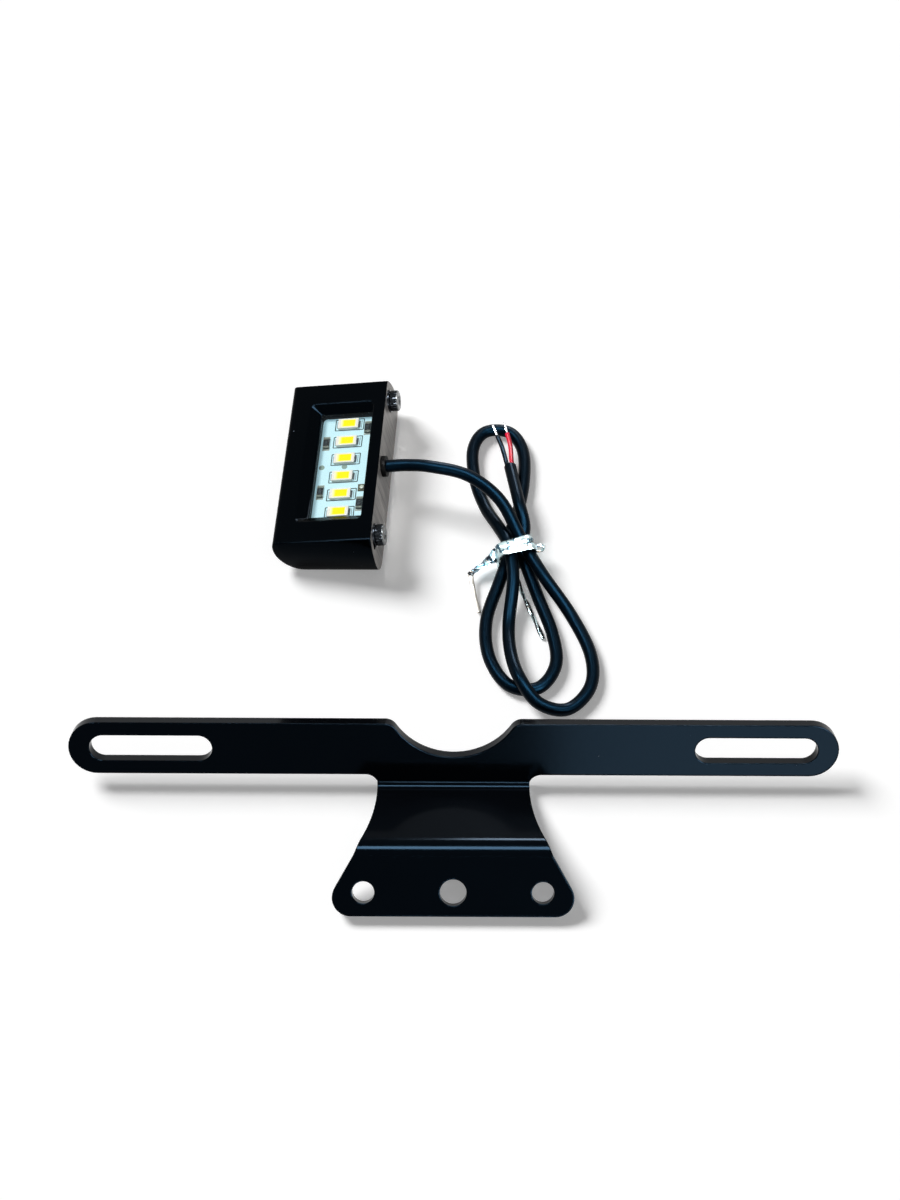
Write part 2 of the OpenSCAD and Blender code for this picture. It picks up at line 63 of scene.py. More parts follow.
@dataclass(frozen=True)
class LampPlace:
    """Where the lamp lies: the middle of its front face, its roll on the nose and its turn on the table."""

    centre: Point = (-31.1 * MM, 46.9997 * MM, 12.1047 * MM)
    roll: float = math.radians(-10.8)
    turn: float = math.radians(-3.6)

    def rotation(self) -> Euler:
        """Turn of the lamp's own frame, with +X towards its mounting face and +Z out of its front."""
        return Euler((0.0, self.roll, self.turn), "XYZ")

    def matrix(self) -> Matrix:
        """Place of the lamp's own frame in the row frame."""
        return Matrix.Translation(self.centre) @ self.rotation().to_matrix().to_4x4()


LAMP = LampPlace()


class Shader:
    """A material's node tree, with short calls for the nodes that the finishes use."""

    def __init__(self, name: str) -> None:
        """Makes an empty material that ends in one surface output."""
        self.material = bpy.data.materials.new(name)
        self.material.use_nodes = True
        self.tree = self.material.node_tree
        self.tree.nodes.clear()
        self.output = self.tree.nodes.new("ShaderNodeOutputMaterial")

    def node(self, kind: str, **settings: object) -> bpy.types.Node:
        """Adds a node and sets its own properties.

        Args:
            kind: The node's type name, without its ShaderNode prefix.
            settings: Properties of the node by name.

        Returns:
            The new node.
        """
        made = self.tree.nodes.new("ShaderNode" + kind)
        for name, value in settings.items():
            setattr(made, name, value)
        return made

    def feed(self, socket: bpy.types.NodeSocket, value: object) -> None:
        """Links a socket to another, or sets it to a number or a colour.

        Args:
            socket: The input socket.
            value: An output socket, a number, or a colour without its alpha.
        """
        if isinstance(value, bpy.types.NodeSocket):
            self.tree.links.new(value, socket)
        elif isinstance(value, tuple) and socket.type == "RGBA":
            socket.default_value = (*value, 1.0)
        else:
            socket.default_value = value

    def place(self) -> bpy.types.NodeSocket:
        """The point being shaded, in the row frame."""
        return self.node("TexCoord").outputs["Object"]

    def lamp_place(self) -> bpy.types.NodeSocket:
        """The point being shaded, in the lamp's own frame."""
        mapping = self.node("Mapping", vector_type="TEXTURE")
        mapping.inputs["Location"].default_value = LAMP.centre
        mapping.inputs["Rotation"].default_value = LAMP.rotation()
        self.feed(mapping.inputs["Vector"], self.place())
        return mapping.outputs["Vector"]

    def stretched(self, place: bpy.types.NodeSocket, scale: Point) -> bpy.types.NodeSocket:
        """Coordinates scaled by a different amount along each axis."""
        mapping = self.node("Mapping")
        mapping.inputs["Scale"].default_value = scale
        self.feed(mapping.inputs["Vector"], place)
        return mapping.outputs["Vector"]

    def parts(self, value: bpy.types.NodeSocket) -> tuple[bpy.types.NodeSocket, ...]:
        """The three numbers of a vector or a colour."""
        split = self.node("SeparateXYZ")
        self.feed(split.inputs[0], value)
        return tuple(split.outputs)

    def math(self, operation: str, *values: object) -> bpy.types.NodeSocket:
        """Works out one number.

        Args:
            operation: The Math node's operation, such as MULTIPLY.
            values: Sockets or numbers for its inputs, in order.

        Returns:
            The result's socket.
        """
        made = self.node("Math", operation=operation)
        for socket, value in zip(made.inputs, values):
            self.feed(socket, value)
        return made.outputs[0]

    def noise(self, place: bpy.types.NodeSocket, scale: float, detail: float = 3.0) -> bpy.types.NodeSocket:
        """A Noise texture's factor.

        Args:
            place: The coordinates that it is looked up at.
            scale: Cells per metre.
            detail: Octaves of finer noise.

        Returns:
            The factor's socket.
        """
        made = self.node("TexNoise")
        made.inputs["Scale"].default_value = scale
        made.inputs["Detail"].default_value = detail
        self.feed(made.inputs["Vector"], place)
        return made.outputs[0]

    def span(self, value: bpy.types.NodeSocket, source: tuple[float, float],
             target: tuple[float, float] = (0.0, 1.0), eased: bool = False) -> bpy.types.NodeSocket:
        """Maps a value from one range to another, held at its ends.

        Args:
            value: The socket to map.
            source: The range that it comes from.
            target: The range that it goes to.
            eased: Whether the step between the ends is smooth.

        Returns:
            The mapped value's socket.
        """
        made = self.node("MapRange", interpolation_type="SMOOTHSTEP" if eased else "LINEAR")
        for index, number in enumerate((*source, *target), start=1):
            made.inputs[index].default_value = number
        self.feed(made.inputs[0], value)
        return made.outputs[0]

    def mix(self, share: object, first: object, second: object) -> bpy.types.NodeSocket:
        """Mixes two colours.

        Args:
            share: Share of the second colour, a socket or a number.
            first: A colour or a colour's socket.
            second: A colour or a colour's socket.

        Returns:
            The mixed colour's socket.
        """
        made = self.node("Mix", data_type="RGBA")
        for index, value in ((0, share), (6, first), (7, second)):
            self.feed(made.inputs[index], value)
        return made.outputs[2]

    def rounded(self, radius: float) -> bpy.types.NodeSocket:
        """The normal of the surface with its edges rounded.

        Args:
            radius: Radius of the edges.

        Returns:
            The normal's socket.
        """
        made = self.node("Bevel", samples=8)
        made.inputs["Radius"].default_value = radius
        return made.outputs["Normal"]

    def bump(self, height: bpy.types.NodeSocket, strength: float, depth: float,
             edge: float = 0.0) -> bpy.types.NodeSocket:
        """Bends the normal by a height.

        Args:
            height: The height's socket, from 0 to 1.
            strength: Strength of the bump.
            depth: Height in metres that 1 stands for.
            edge: Radius of the surface's edges, or 0 for sharp ones.

        Returns:
            The bent normal's socket.
        """
        made = self.node("Bump")
        made.inputs["Strength"].default_value = strength
        made.inputs["Distance"].default_value = depth
        self.feed(made.inputs["Height"], height)
        if edge:
            self.feed(made.inputs["Normal"], self.rounded(edge))
        return made.outputs["Normal"]

    def surface(self, inputs: dict[str, object]) -> bpy.types.Material:
        """Ends the tree in a Principled shader.

        Args:
            inputs: Sockets, numbers or colours for the shader's inputs, by name.

        Returns:
            The finished material.
        """
        shader = self.node("BsdfPrincipled")
        for name, value in inputs.items():
            self.feed(shader.inputs[name], value)
        self.feed(self.output.inputs["Surface"], shader.outputs[0])
        return self.material


@dataclass(frozen=True)
class Finish:
    """A plain finish: two shades blended by a fine grain, with uneven gloss and a little relief."""

    name: str
    slot: str
    colour: Colour
    shade: Colour
    grain: float = 600.0
    gloss: tuple[float, float] = (0.3, 0.45)
    relief: float = 0.1
    relief_depth: float = 0.1 * MM
    metallic: float = 0.0
    specular: float = 0.5
    tint: Colour = (1.0, 1.0, 1.0)
    alpha: float = 1.0

    def finished(self, shader: Shader, colour: bpy.types.NodeSocket, grain: bpy.types.NodeSocket,
                 height: bpy.types.NodeSocket, edge: float = 0.0, glow: float = 0.0) -> bpy.types.Material:
        """Ends a tree with the finish's own gloss and relief.

        Args:
            shader: The tree.
            colour: The surface's colour.
            grain: What the gloss varies with.
            height: What the relief follows.
            edge: Radius of the surface's edges, or 0 for sharp ones.
            glow: Strength of the light that the surface gives.

        Returns:
            The finished material.
        """
        inputs = {
            "Base Color": colour,
            "Roughness": shader.span(grain, GRAIN_SPAN, self.gloss),
            "Normal": shader.bump(height, self.relief, self.relief_depth, edge),
            "Metallic": self.metallic,
            "Specular IOR Level": self.specular,
            "Specular Tint": self.tint,
            "Alpha": self.alpha,
        }
        if glow:
            inputs |= {"Emission Color": colour, "Emission Strength": glow}
        return shader.surface(inputs)

    def material(self) -> bpy.types.Material:
        """The finish's material, made at its first use."""
        return bpy.data.materials.get(self.name) or self.build(Shader(self.name))

    def build(self, shader: Shader) -> bpy.types.Material:
        """Builds the finish in an empty tree.

        Args:
            shader: The tree to build in.

        Returns:
            The finished material.
        """
        grain = shader.noise(shader.place(), self.grain)
        return self.finished(shader, shader.mix(grain, self.colour, self.shade), grain, grain)


@dataclass(frozen=True)
class GlossPaint(Finish):
    """Gloss black paint over metal, with rounded edges, a faint orange peel and a few specks of dust."""

    relief_depth: float = 0.05 * MM
    edge: float = 0.35 * MM
    dust_scale: float = 240.0
    dust_size: float = 0.022
    dust_share: float = 0.1
    dust_colour: Colour = (0.2, 0.24, 0.3)

    def build(self, shader: Shader) -> bpy.types.Material:
        """Builds the paint, its peel and its dust.

        Args:
            shader: The tree to build in.

        Returns:
            The finished material.
        """
        place = shader.place()
        cells = shader.node("TexVoronoi")
        cells.inputs["Scale"].default_value = self.dust_scale
        shader.feed(cells.inputs["Vector"], place)
        chosen = shader.math("LESS_THAN", shader.parts(cells.outputs["Color"])[0], self.dust_share)
        speck = (self.dust_size, 2 * self.dust_size)
        near = shader.span(cells.outputs["Distance"], speck, (1.0, 0.0))
        cloud = shader.noise(place, self.grain / 20)
        peel = shader.noise(place, self.grain, 1.0)
        paint = shader.mix(cloud, self.colour, self.shade)
        dusty = shader.mix(shader.math("MULTIPLY", chosen, near), paint, self.dust_colour)
        return self.finished(shader, dusty, cloud, peel, edge=self.edge)


@dataclass(frozen=True)
class BrushedMetal(Finish):
    """Bare metal, brushed in fine streaks that follow one another along the lamp."""

    relief_depth: float = 0.05 * MM
    streak: Point = (1.0, 30.0, 1.0)
    streak_share: float = 0.75
    contrast: tuple[float, float] = (0.38, 0.62)

    def build(self, shader: Shader) -> bpy.types.Material:
        """Builds the metal and its streaks.

        Args:
            shader: The tree to build in.

        Returns:
            The finished material.
        """
        place = shader.lamp_place()
        streaks = shader.noise(shader.stretched(place, self.streak), self.grain, 4.0)
        cloud = shader.noise(place, self.grain * 2)
        both = shader.math("ADD", shader.math("MULTIPLY", streaks, self.streak_share),
                           shader.math("MULTIPLY", cloud, 1 - self.streak_share))
        colour = shader.mix(shader.span(both, self.contrast), self.colour, self.shade)
        return self.finished(shader, colour, both, both)


@dataclass(frozen=True)
class ChipRow:
    """The row of chips on the board: its middle in the lamp's own frame, its pitch and its parts' sizes."""

    count: int = 6
    middle: float = 2.125 * MM
    pitch: float = 5.6 * MM
    glow: tuple[float, float] = (3.9 * MM, 2.3 * MM)
    top: float = -2.7 * MM
    board_top: float = -3.5 * MM
    board_middle: float = 2.025 * MM

    def along(self, index: int) -> float:
        """Distance of a chip along the lamp, the first one uppermost."""
        return ((self.count - 1) / 2 - index) * self.pitch


CHIPS = ChipRow()


@dataclass(frozen=True)
class GlowFace(Finish):
    """A chip's yellow face, which pales towards its edges."""

    relief_depth: float = 0.05 * MM
    fade_left: float = 0.9 * MM
    fade: float = 0.2 * MM
    glow: float = 0.25

    def build(self, shader: Shader) -> bpy.types.Material:
        """Builds the face, repeated at each chip's place.

        Args:
            shader: The tree to build in.

        Returns:
            The finished material.
        """
        across, along, _ = shader.parts(shader.lamp_place())
        shifted = shader.math("ADD", along, CHIPS.pitch * (CHIPS.count / 2))
        local = shader.math("SUBTRACT", shader.math("MODULO", shifted, CHIPS.pitch), CHIPS.pitch / 2)
        wide, tall = (size / 2 for size in CHIPS.glow)
        left, right = CHIPS.middle - wide, CHIPS.middle + wide
        reach_left = shader.span(across, (left + self.fade_left, left), eased=True)
        reach_right = shader.span(across, (right - self.fade, right), eased=True)
        reach_along = shader.span(shader.math("ABSOLUTE", local), (tall - self.fade, tall), eased=True)
        edge = shader.math("MAXIMUM", shader.math("MAXIMUM", reach_left, reach_right), reach_along)
        grain = shader.noise(shader.place(), self.grain)
        colour = shader.mix(edge, self.colour, self.shade)
        return self.finished(shader, colour, grain, grain, glow=self.glow)


@dataclass(frozen=True)
class BoardMask(Finish):
    """White solder mask with painted shade: darker and more cyan towards the ends of the board and along one
    side, with random darker patches; it also glows as painted light.
    """

    relief_depth: float = 0.02 * MM
    half_length: float = 16.2 * MM
    end_share: float = 0.86
    painted_shade_side: tuple[float, float] = (-4.8 * MM, -2.6 * MM)
    painted_side_shade: float = 0.85
    cloud_shade: float = 0.5
    # Painted light: the board glows though it is no lamp, which lightens the shade on it.
    glow: float = 0.7

    def build(self, shader: Shader) -> bpy.types.Material:
        """Builds the mask, its painted shade and its painted glow.

        Args:
            shader: The tree to build in.

        Returns:
            The finished material.
        """
        place = shader.lamp_place()
        across, along, _ = shader.parts(place)
        cloud = shader.noise(place, self.grain)
        ends = (self.end_share * self.half_length, self.half_length)
        # Painted shade: the mask takes its darker cyan towards both ends of the board and along one side.
        edge = shader.span(shader.math("ABSOLUTE", along), ends, eased=True)
        side = shader.span(across, self.painted_shade_side, (self.painted_side_shade, 0.0), eased=True)
        tint = shader.math("MAXIMUM", shader.math("MAXIMUM", edge, side),
                           shader.math("MULTIPLY", cloud, self.cloud_shade))
        colour = shader.mix(tint, self.colour, self.shade)
        # The glow is painted light on a board that is no lamp.
        return self.finished(shader, colour, cloud, cloud, glow=self.glow)


SPECULAR_BLUE: Colour = (0.3, 0.62, 1.0)
BRACKET_PAINT = GlossPaint(
    "bracket_gloss", "bracket_paint", (0.0006, 0.0008, 0.0012), (0.0009, 0.0013, 0.0022), grain=700.0,
    gloss=(0.1, 0.14), relief=0.05, specular=0.05, tint=SPECULAR_BLUE, edge=0.45 * MM)
LAMP_PAINT = GlossPaint(
    "lamp_gloss", "lamp_paint", (0.0003, 0.0004, 0.0005), (0.0005, 0.0007, 0.0009), grain=900.0,
    gloss=(0.1, 0.15), relief=0.04, specular=0.035, tint=SPECULAR_BLUE, dust_share=0.03, edge=0.6 * MM)
BARE_ALUMINIUM = BrushedMetal(
    "bare_aluminium", "lamp_paint", (0.035, 0.034, 0.034), (0.2, 0.19, 0.18), grain=70.0,
    gloss=(0.35, 0.55), relief=0.5, metallic=0.9)
LENS = Finish(
    "lens_clear", "clear_lens", (0.5, 0.6, 0.65), (0.45, 0.55, 0.6), gloss=(0.02, 0.05), relief=0.0,
    specular=0.3, alpha=0.015)
# The board's second colour is its painted shade.
BOARD_WHITE = BoardMask(
    "board_white", "white_board", (0.39, 0.57, 0.6), (0.28, 0.48, 0.55), grain=160.0, gloss=(0.35, 0.5),
    relief=0.05, specular=0.1)
CHIP_WHITE = Finish(
    "chip_white", "led_body", (0.88, 0.9, 0.82), (0.95, 0.95, 0.88), grain=900.0, specular=0.1)
CHIP_GLOW = GlowFace(
    "chip_glow", "led_phosphor", (0.95, 0.8, 0.0), (0.95, 0.93, 0.55), gloss=(0.4, 0.5), specular=0.02)
CHIP_FOOT = Finish(
    "chip_foot", "led_body", (0.22, 0.26, 0.28), (0.34, 0.38, 0.4), grain=2600.0, specular=0.1)
SILK_INK = Finish(
    "silk_ink", "resistor_body", (0.012, 0.035, 0.04), (0.03, 0.07, 0.075), grain=2500.0, gloss=(0.5, 0.6),
    specular=0.1)
TEST_DOT = Finish(
    "test_dot", "solder", (0.22, 0.34, 0.29), (0.3, 0.42, 0.36), grain=1500.0, gloss=(0.4, 0.55),
    specular=0.1)
CHIP_RESISTOR = Finish(
    "chip_resistor", "resistor_body", (0.0015, 0.003, 0.004), (0.004, 0.007, 0.009), grain=2500.0,
    gloss=(0.25, 0.4), specular=0.1)
RESISTOR_MARK = Finish(
    "resistor_mark", "resistor_body", (0.05, 0.08, 0.09), (0.09, 0.13, 0.14), grain=2500.0, specular=0.1)
RESISTOR_END = Finish(
    "resistor_end", "solder", (0.1, 0.13, 0.11), (0.2, 0.24, 0.19), grain=1800.0, gloss=(0.25, 0.4),
    specular=0.2)
RESISTOR_PAD = Finish(
    "resistor_pad", "solder", (0.3, 0.36, 0.32), (0.42, 0.5, 0.46), grain=1800.0, gloss=(0.4, 0.5),
    specular=0.1)
OLIVE_PAD = Finish(
    "olive_pad", "solder", (0.022, 0.026, 0.01), (0.07, 0.075, 0.03), grain=1600.0, gloss=(0.3, 0.45),
    specular=0.2)
SOLDER_SPOT = Finish(
    "solder_spot", "solder", (0.42, 0.5, 0.4), (0.6, 0.68, 0.58), grain=1600.0, gloss=(0.25, 0.35),
    specular=0.2)
BLACK_RUBBER = Finish(
    "grommet_rubber", "black_rubber", (0.0006, 0.0008, 0.001), (0.0016, 0.002, 0.0024), grain=1200.0,
    gloss=(0.35, 0.5), relief=0.2, specular=0.03)
DARK_STEEL = Finish(
    "blackened_steel", "dark_steel", (0.004, 0.006, 0.008), (0.03, 0.034, 0.04), grain=1400.0,
    gloss=(0.1, 0.2), relief=0.15, metallic=1.0)
# Paler steel for the screw heads' rims and sockets: a painted highlight.
PAINTED_RIM_HIGHLIGHT = Finish(
    "painted_rim_highlight", "dark_steel", (0.03, 0.035, 0.04), (0.22, 0.23, 0.23), grain=1400.0, gloss=(0.15, 0.3),
    relief=0.2, metallic=1.0)
JACKET = Finish(
    "jacket_satin", "cable_jacket", (0.0003, 0.0007, 0.0014), (0.0005, 0.0012, 0.0022), grain=900.0,
    gloss=(0.3, 0.38), relief=0.08, specular=0.065, tint=(0.1, 0.5, 1.0))
RED_PVC = Finish(
    "red_pvc", "red_insulation", (0.85, 0.003, 0.045), (0.75, 0.002, 0.035), grain=1500.0, gloss=(0.3, 0.4),
    specular=0.2)
BLACK_PVC = Finish(
    "black_pvc", "black_insulation", (0.0015, 0.003, 0.005), (0.004, 0.006, 0.01), grain=1500.0,
    gloss=(0.25, 0.35), specular=0.12, tint=(0.4, 0.7, 1.0))
TINNED = Finish(
    "bare_strands", "tinned_copper", (0.55, 0.56, 0.58), (0.85, 0.86, 0.88), grain=3000.0,
    gloss=(0.15, 0.3), relief=0.4, metallic=1.0)


@dataclass(frozen=True)
class CrinkledFilm(Finish):
    """Clear metallised film with a little brown in random patches; its creases take the film's second colour,
    which is painted shade on the pale films and a painted highlight on the dark one.
    """

    relief_depth: float = 0.2 * MM
    brown: Colour = (0.45, 0.3, 0.2)
    brown_share: tuple[float, float] = (0.6, 0.66)
    painted_crease_shading: tuple[float, float] = (0.55, 0.6)

    def build(self, shader: Shader) -> bpy.types.Material:
        """Builds the film, its brown patches and its painted crease shading.

        Args:
            shader: The tree to build in.

        Returns:
            The finished material.
        """
        place = shader.place()
        fold = shader.noise(shader.stretched(place, (1.0, 0.6, 1.0)), self.grain, 2.0)
        patch = shader.noise(place, self.grain / 2.4, 1.0)
        # Painted shading in the creases: they take the second colour, darker on the pale films and lighter on
        # the dark film.
        crease_shading_mask = shader.span(fold, self.painted_crease_shading, eased=True)
        base = shader.mix(shader.span(patch, self.brown_share), self.colour, self.brown)
        return self.finished(shader, shader.mix(crease_shading_mask, base, self.shade), patch, fold)


# Each film's second colour is the painted shading in its creases.
TIE_FILM = CrinkledFilm(
    "tie_bright", "tie_film", (0.66, 0.84, 0.86), (0.05, 0.12, 0.17), grain=620.0, gloss=(0.06, 0.25),
    relief=0.8, metallic=0.5, painted_crease_shading=(0.56, 0.62))
TIE_TWIST = CrinkledFilm(
    "tie_twist", "tie_film", (0.5, 0.78, 0.9), (0.004, 0.016, 0.03), grain=900.0, gloss=(0.05, 0.2),
    relief=0.9, metallic=0.5, painted_crease_shading=(0.46, 0.54))
TIE_PAPER = CrinkledFilm(
    "tie_paper", "tie_film", (0.56, 0.53, 0.47), (0.3, 0.25, 0.2), grain=420.0, gloss=(0.25, 0.5),
    relief=0.4, metallic=0.1, brown=(0.48, 0.44, 0.37), painted_crease_shading=(0.6, 0.68))
# A black copy of the tie's film: painted shade, with painted highlights in its creases.
TIE_PAINTED_SHADE = CrinkledFilm(
    "tie_painted_shade", "tie_film", (0.002, 0.003, 0.004), (0.16, 0.18, 0.19), grain=1000.0, gloss=(0.08, 0.25),
    relief=0.8, metallic=0.8, brown=(0.01, 0.012, 0.015), painted_crease_shading=(0.62, 0.68))


@dataclass(frozen=True)
class Section:
    """A cross-section to sweep along a line: its outline, across and outwards."""

    outline: tuple[tuple[float, float], ...]

    @staticmethod
    def ribbon(width: float, thickness: float, core: float) -> "Section":
        """A flat ribbon with a round core down its middle.

        Args:
            width: Width of the ribbon.
            thickness: Thickness of its two wings.
            core: Thickness over the core.

        Returns:
            The section.
        """
        wing, half, mid = thickness / 2, width / 2, core / 2
        upper = [(half, wing), (0.3 * width, wing), (0.14 * width, mid), (0.0, 1.15 * mid),
                 (-0.14 * width, mid), (-0.3 * width, wing), (-half, wing)]
        return Section(tuple(upper + [(x, -y) for x, y in reversed(upper)]))

    @staticmethod
    def round(diameter: float, sides: int = 16) -> "Section":
        """A circle."""
        turns = (2 * math.pi * i / sides for i in range(sides))
        return Section(tuple((math.cos(a) * diameter / 2, math.sin(a) * diameter / 2) for a in turns))

    def turned(self) -> "Section":
        """The same section with across and outwards swapped."""
        return Section(tuple((out, across) for across, out in self.outline))


@dataclass
class Sweep:
    """A section carried along a line of points, which may turn, taper, crinkle and close on itself."""

    line: list[Vector]
    section: Section
    up: Vector = field(default_factory=lambda: Vector((0, 0, 1)))
    twist: float = 0.0
    taper: tuple[float, float] = (1.0, 1.0)
    crinkle: float = 0.0
    closed: bool = False
    crinkle_size: float = 0.9 * MM

    def heading(self, index: int) -> Vector:
        """Direction of the line at one of its points."""
        count = len(self.line)
        before, after = index - 1, index + 1
        if self.closed:
            return (self.line[after % count] - self.line[before]).normalized()
        return (self.line[min(after, count - 1)] - self.line[max(before, 0)]).normalized()

    def ring(self, index: int) -> list[Vector]:
        """The section's points at one of the line's points.

        Args:
            index: Which of the line's points.

        Returns:
            The ring's points in the row frame.
        """
        share = index / max(len(self.line) - 1, 1)
        ahead = self.heading(index)
        side = self.up.cross(ahead).normalized()
        rise = ahead.cross(side)
        turn = Matrix.Rotation(self.twist * share, 3, ahead)
        side, rise = turn @ side, turn @ rise
        size = self.taper[0] + share * (self.taper[1] - self.taper[0])
        made = []
        for across, out in self.section.outline:
            spot = self.line[index] + size * (across * side + out * rise)
            made.append(spot + self.crinkle * noise.noise_vector(spot / self.crinkle_size))
        return made

    def mesh(self, name: str) -> bpy.types.Object:
        """Builds the swept mesh.

        Args:
            name: Name of the new piece.

        Returns:
            The new piece, linked to the scene.
        """
        data = bmesh.new()
        rings = [[data.verts.new(p) for p in self.ring(i)] for i in range(len(self.line))]
        after = rings[1:] + rings[:1] if self.closed else rings[1:]
        for low, high in zip(rings, after):
            for i in range(len(low)):
                j = (i + 1) % len(low)
                data.faces.new((low[i], low[j], high[j], high[i]))
        if not self.closed:
            data.faces.new(list(reversed(rings[0])))
            data.faces.new(rings[-1])
        return finished_piece(name, data)


def finished_piece(name: str, data: bmesh.types.BMesh, smooth: bool = True) -> bpy.types.Object:
    """Turns a bmesh into a piece of the scene.

    Args:
        name: Name of the new piece.
        data: Its mesh, which is freed.
        smooth: Whether its faces are shaded smoothly.

    Returns:
        The new piece.
    """
    bmesh.ops.recalc_face_normals(data, faces=data.faces)
    mesh = bpy.data.meshes.new(name)
    data.to_mesh(mesh)
    data.free()
    if smooth:
        mesh.shade_smooth()
    else:
        mesh.shade_flat()
    piece = bpy.data.objects.new(name, mesh)
    bpy.context.scene.collection.objects.link(piece)
    return piece


def dress(piece: bpy.types.Object, finish: Finish, *stands_for: str) -> bpy.types.Object:
    """Gives a new piece its finish and its body.

    Args:
        piece: The new piece.
        finish: Its finish.
        stands_for: The CAD nodes that it is shown instead of.

    Returns:
        The piece.
    """
    piece.data.materials.clear()
    piece.data.materials.append(finish.material())
    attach(piece, BODY)
    if stands_for:
        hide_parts(*stands_for)
    LOG.info("made %s", piece.name)
    return piece


def dress_node(name: str, finish: Finish, edge: float = 0.0) -> bpy.types.Object:
    """Gives a CAD node its finish, and small round edges that catch the light.

    Args:
        name: The node's name.
        finish: Its finish.
        edge: Radius of its edges, or 0 to leave them as they are.

    Returns:
        The node's object.
    """
    node = NODES[name]
    node.data.materials.clear()
    node.data.materials.append(finish.material())
    for face in node.data.polygons:
        face.material_index = 0
    if edge:
        weld = node.modifiers.new("weld", "WELD")
        weld.merge_threshold = WELD_GAP
        bevel = node.modifiers.new("edge", "BEVEL")
        bevel.width = edge
        bevel.segments = 3
        bevel.limit_method = "ANGLE"
        bevel.angle_limit = BEVEL_FROM
        bevel.harden_normals = True
    LOG.info("dressed %s", name)
    return node


def smooth_line(route: list[Vector], steps: int) -> list[Vector]:
    """A smooth line through a route's points.

    Args:
        route: The points.
        steps: Points of the line for each stretch of the route.

    Returns:
        The line's points.
    """
    ends = [2 * route[0] - route[1], *route, 2 * route[-1] - route[-2]]
    line = []
    for a, b, c, d in zip(ends, ends[1:], ends[2:], ends[3:]):
        for j in range(steps):
            s = j / steps
            line.append((2 * b + (c - a) * s + (2 * a - 5 * b + 4 * c - d) * s**2
                         + (3 * b - a - 3 * c + d) * s**3) / 2)
    return line + [route[-1]]


def in_mm(points: tuple[Point, ...]) -> list[Vector]:
    """Points given in millimetres, as vectors in metres."""
    return [Vector(p) * MM for p in points]


@dataclass(frozen=True)
class GlossLight:
    """A soft light that shows only as a reflection, with how bright its face is where the background is 1."""

    name: str
    place: Point
    size: tuple[float, float]
    radiance: float


GLOSS_LIGHTS = (
    GlossLight("left_softbox", (-0.37, 0.2, 0.78), (0.22, 0.22), 66.0),
    GlossLight("top_strip", (0.115, 0.02, 0.86), (0.22, 0.6), 60.0),
    GlossLight("north_strip", (0.12, 0.86, 0.5), (0.22, 0.22), 60.0),
    GlossLight("right_softbox", (0.5, -0.62, 0.56), (0.42, 0.42), 70.0),
    GlossLight("front_strip", (0.1, -0.87, 0.4), (0.3, 0.12), 45.0),
    GlossLight("low_strip", (0.3, -0.93, 0.15), (0.46, 0.2), 9.0),
)


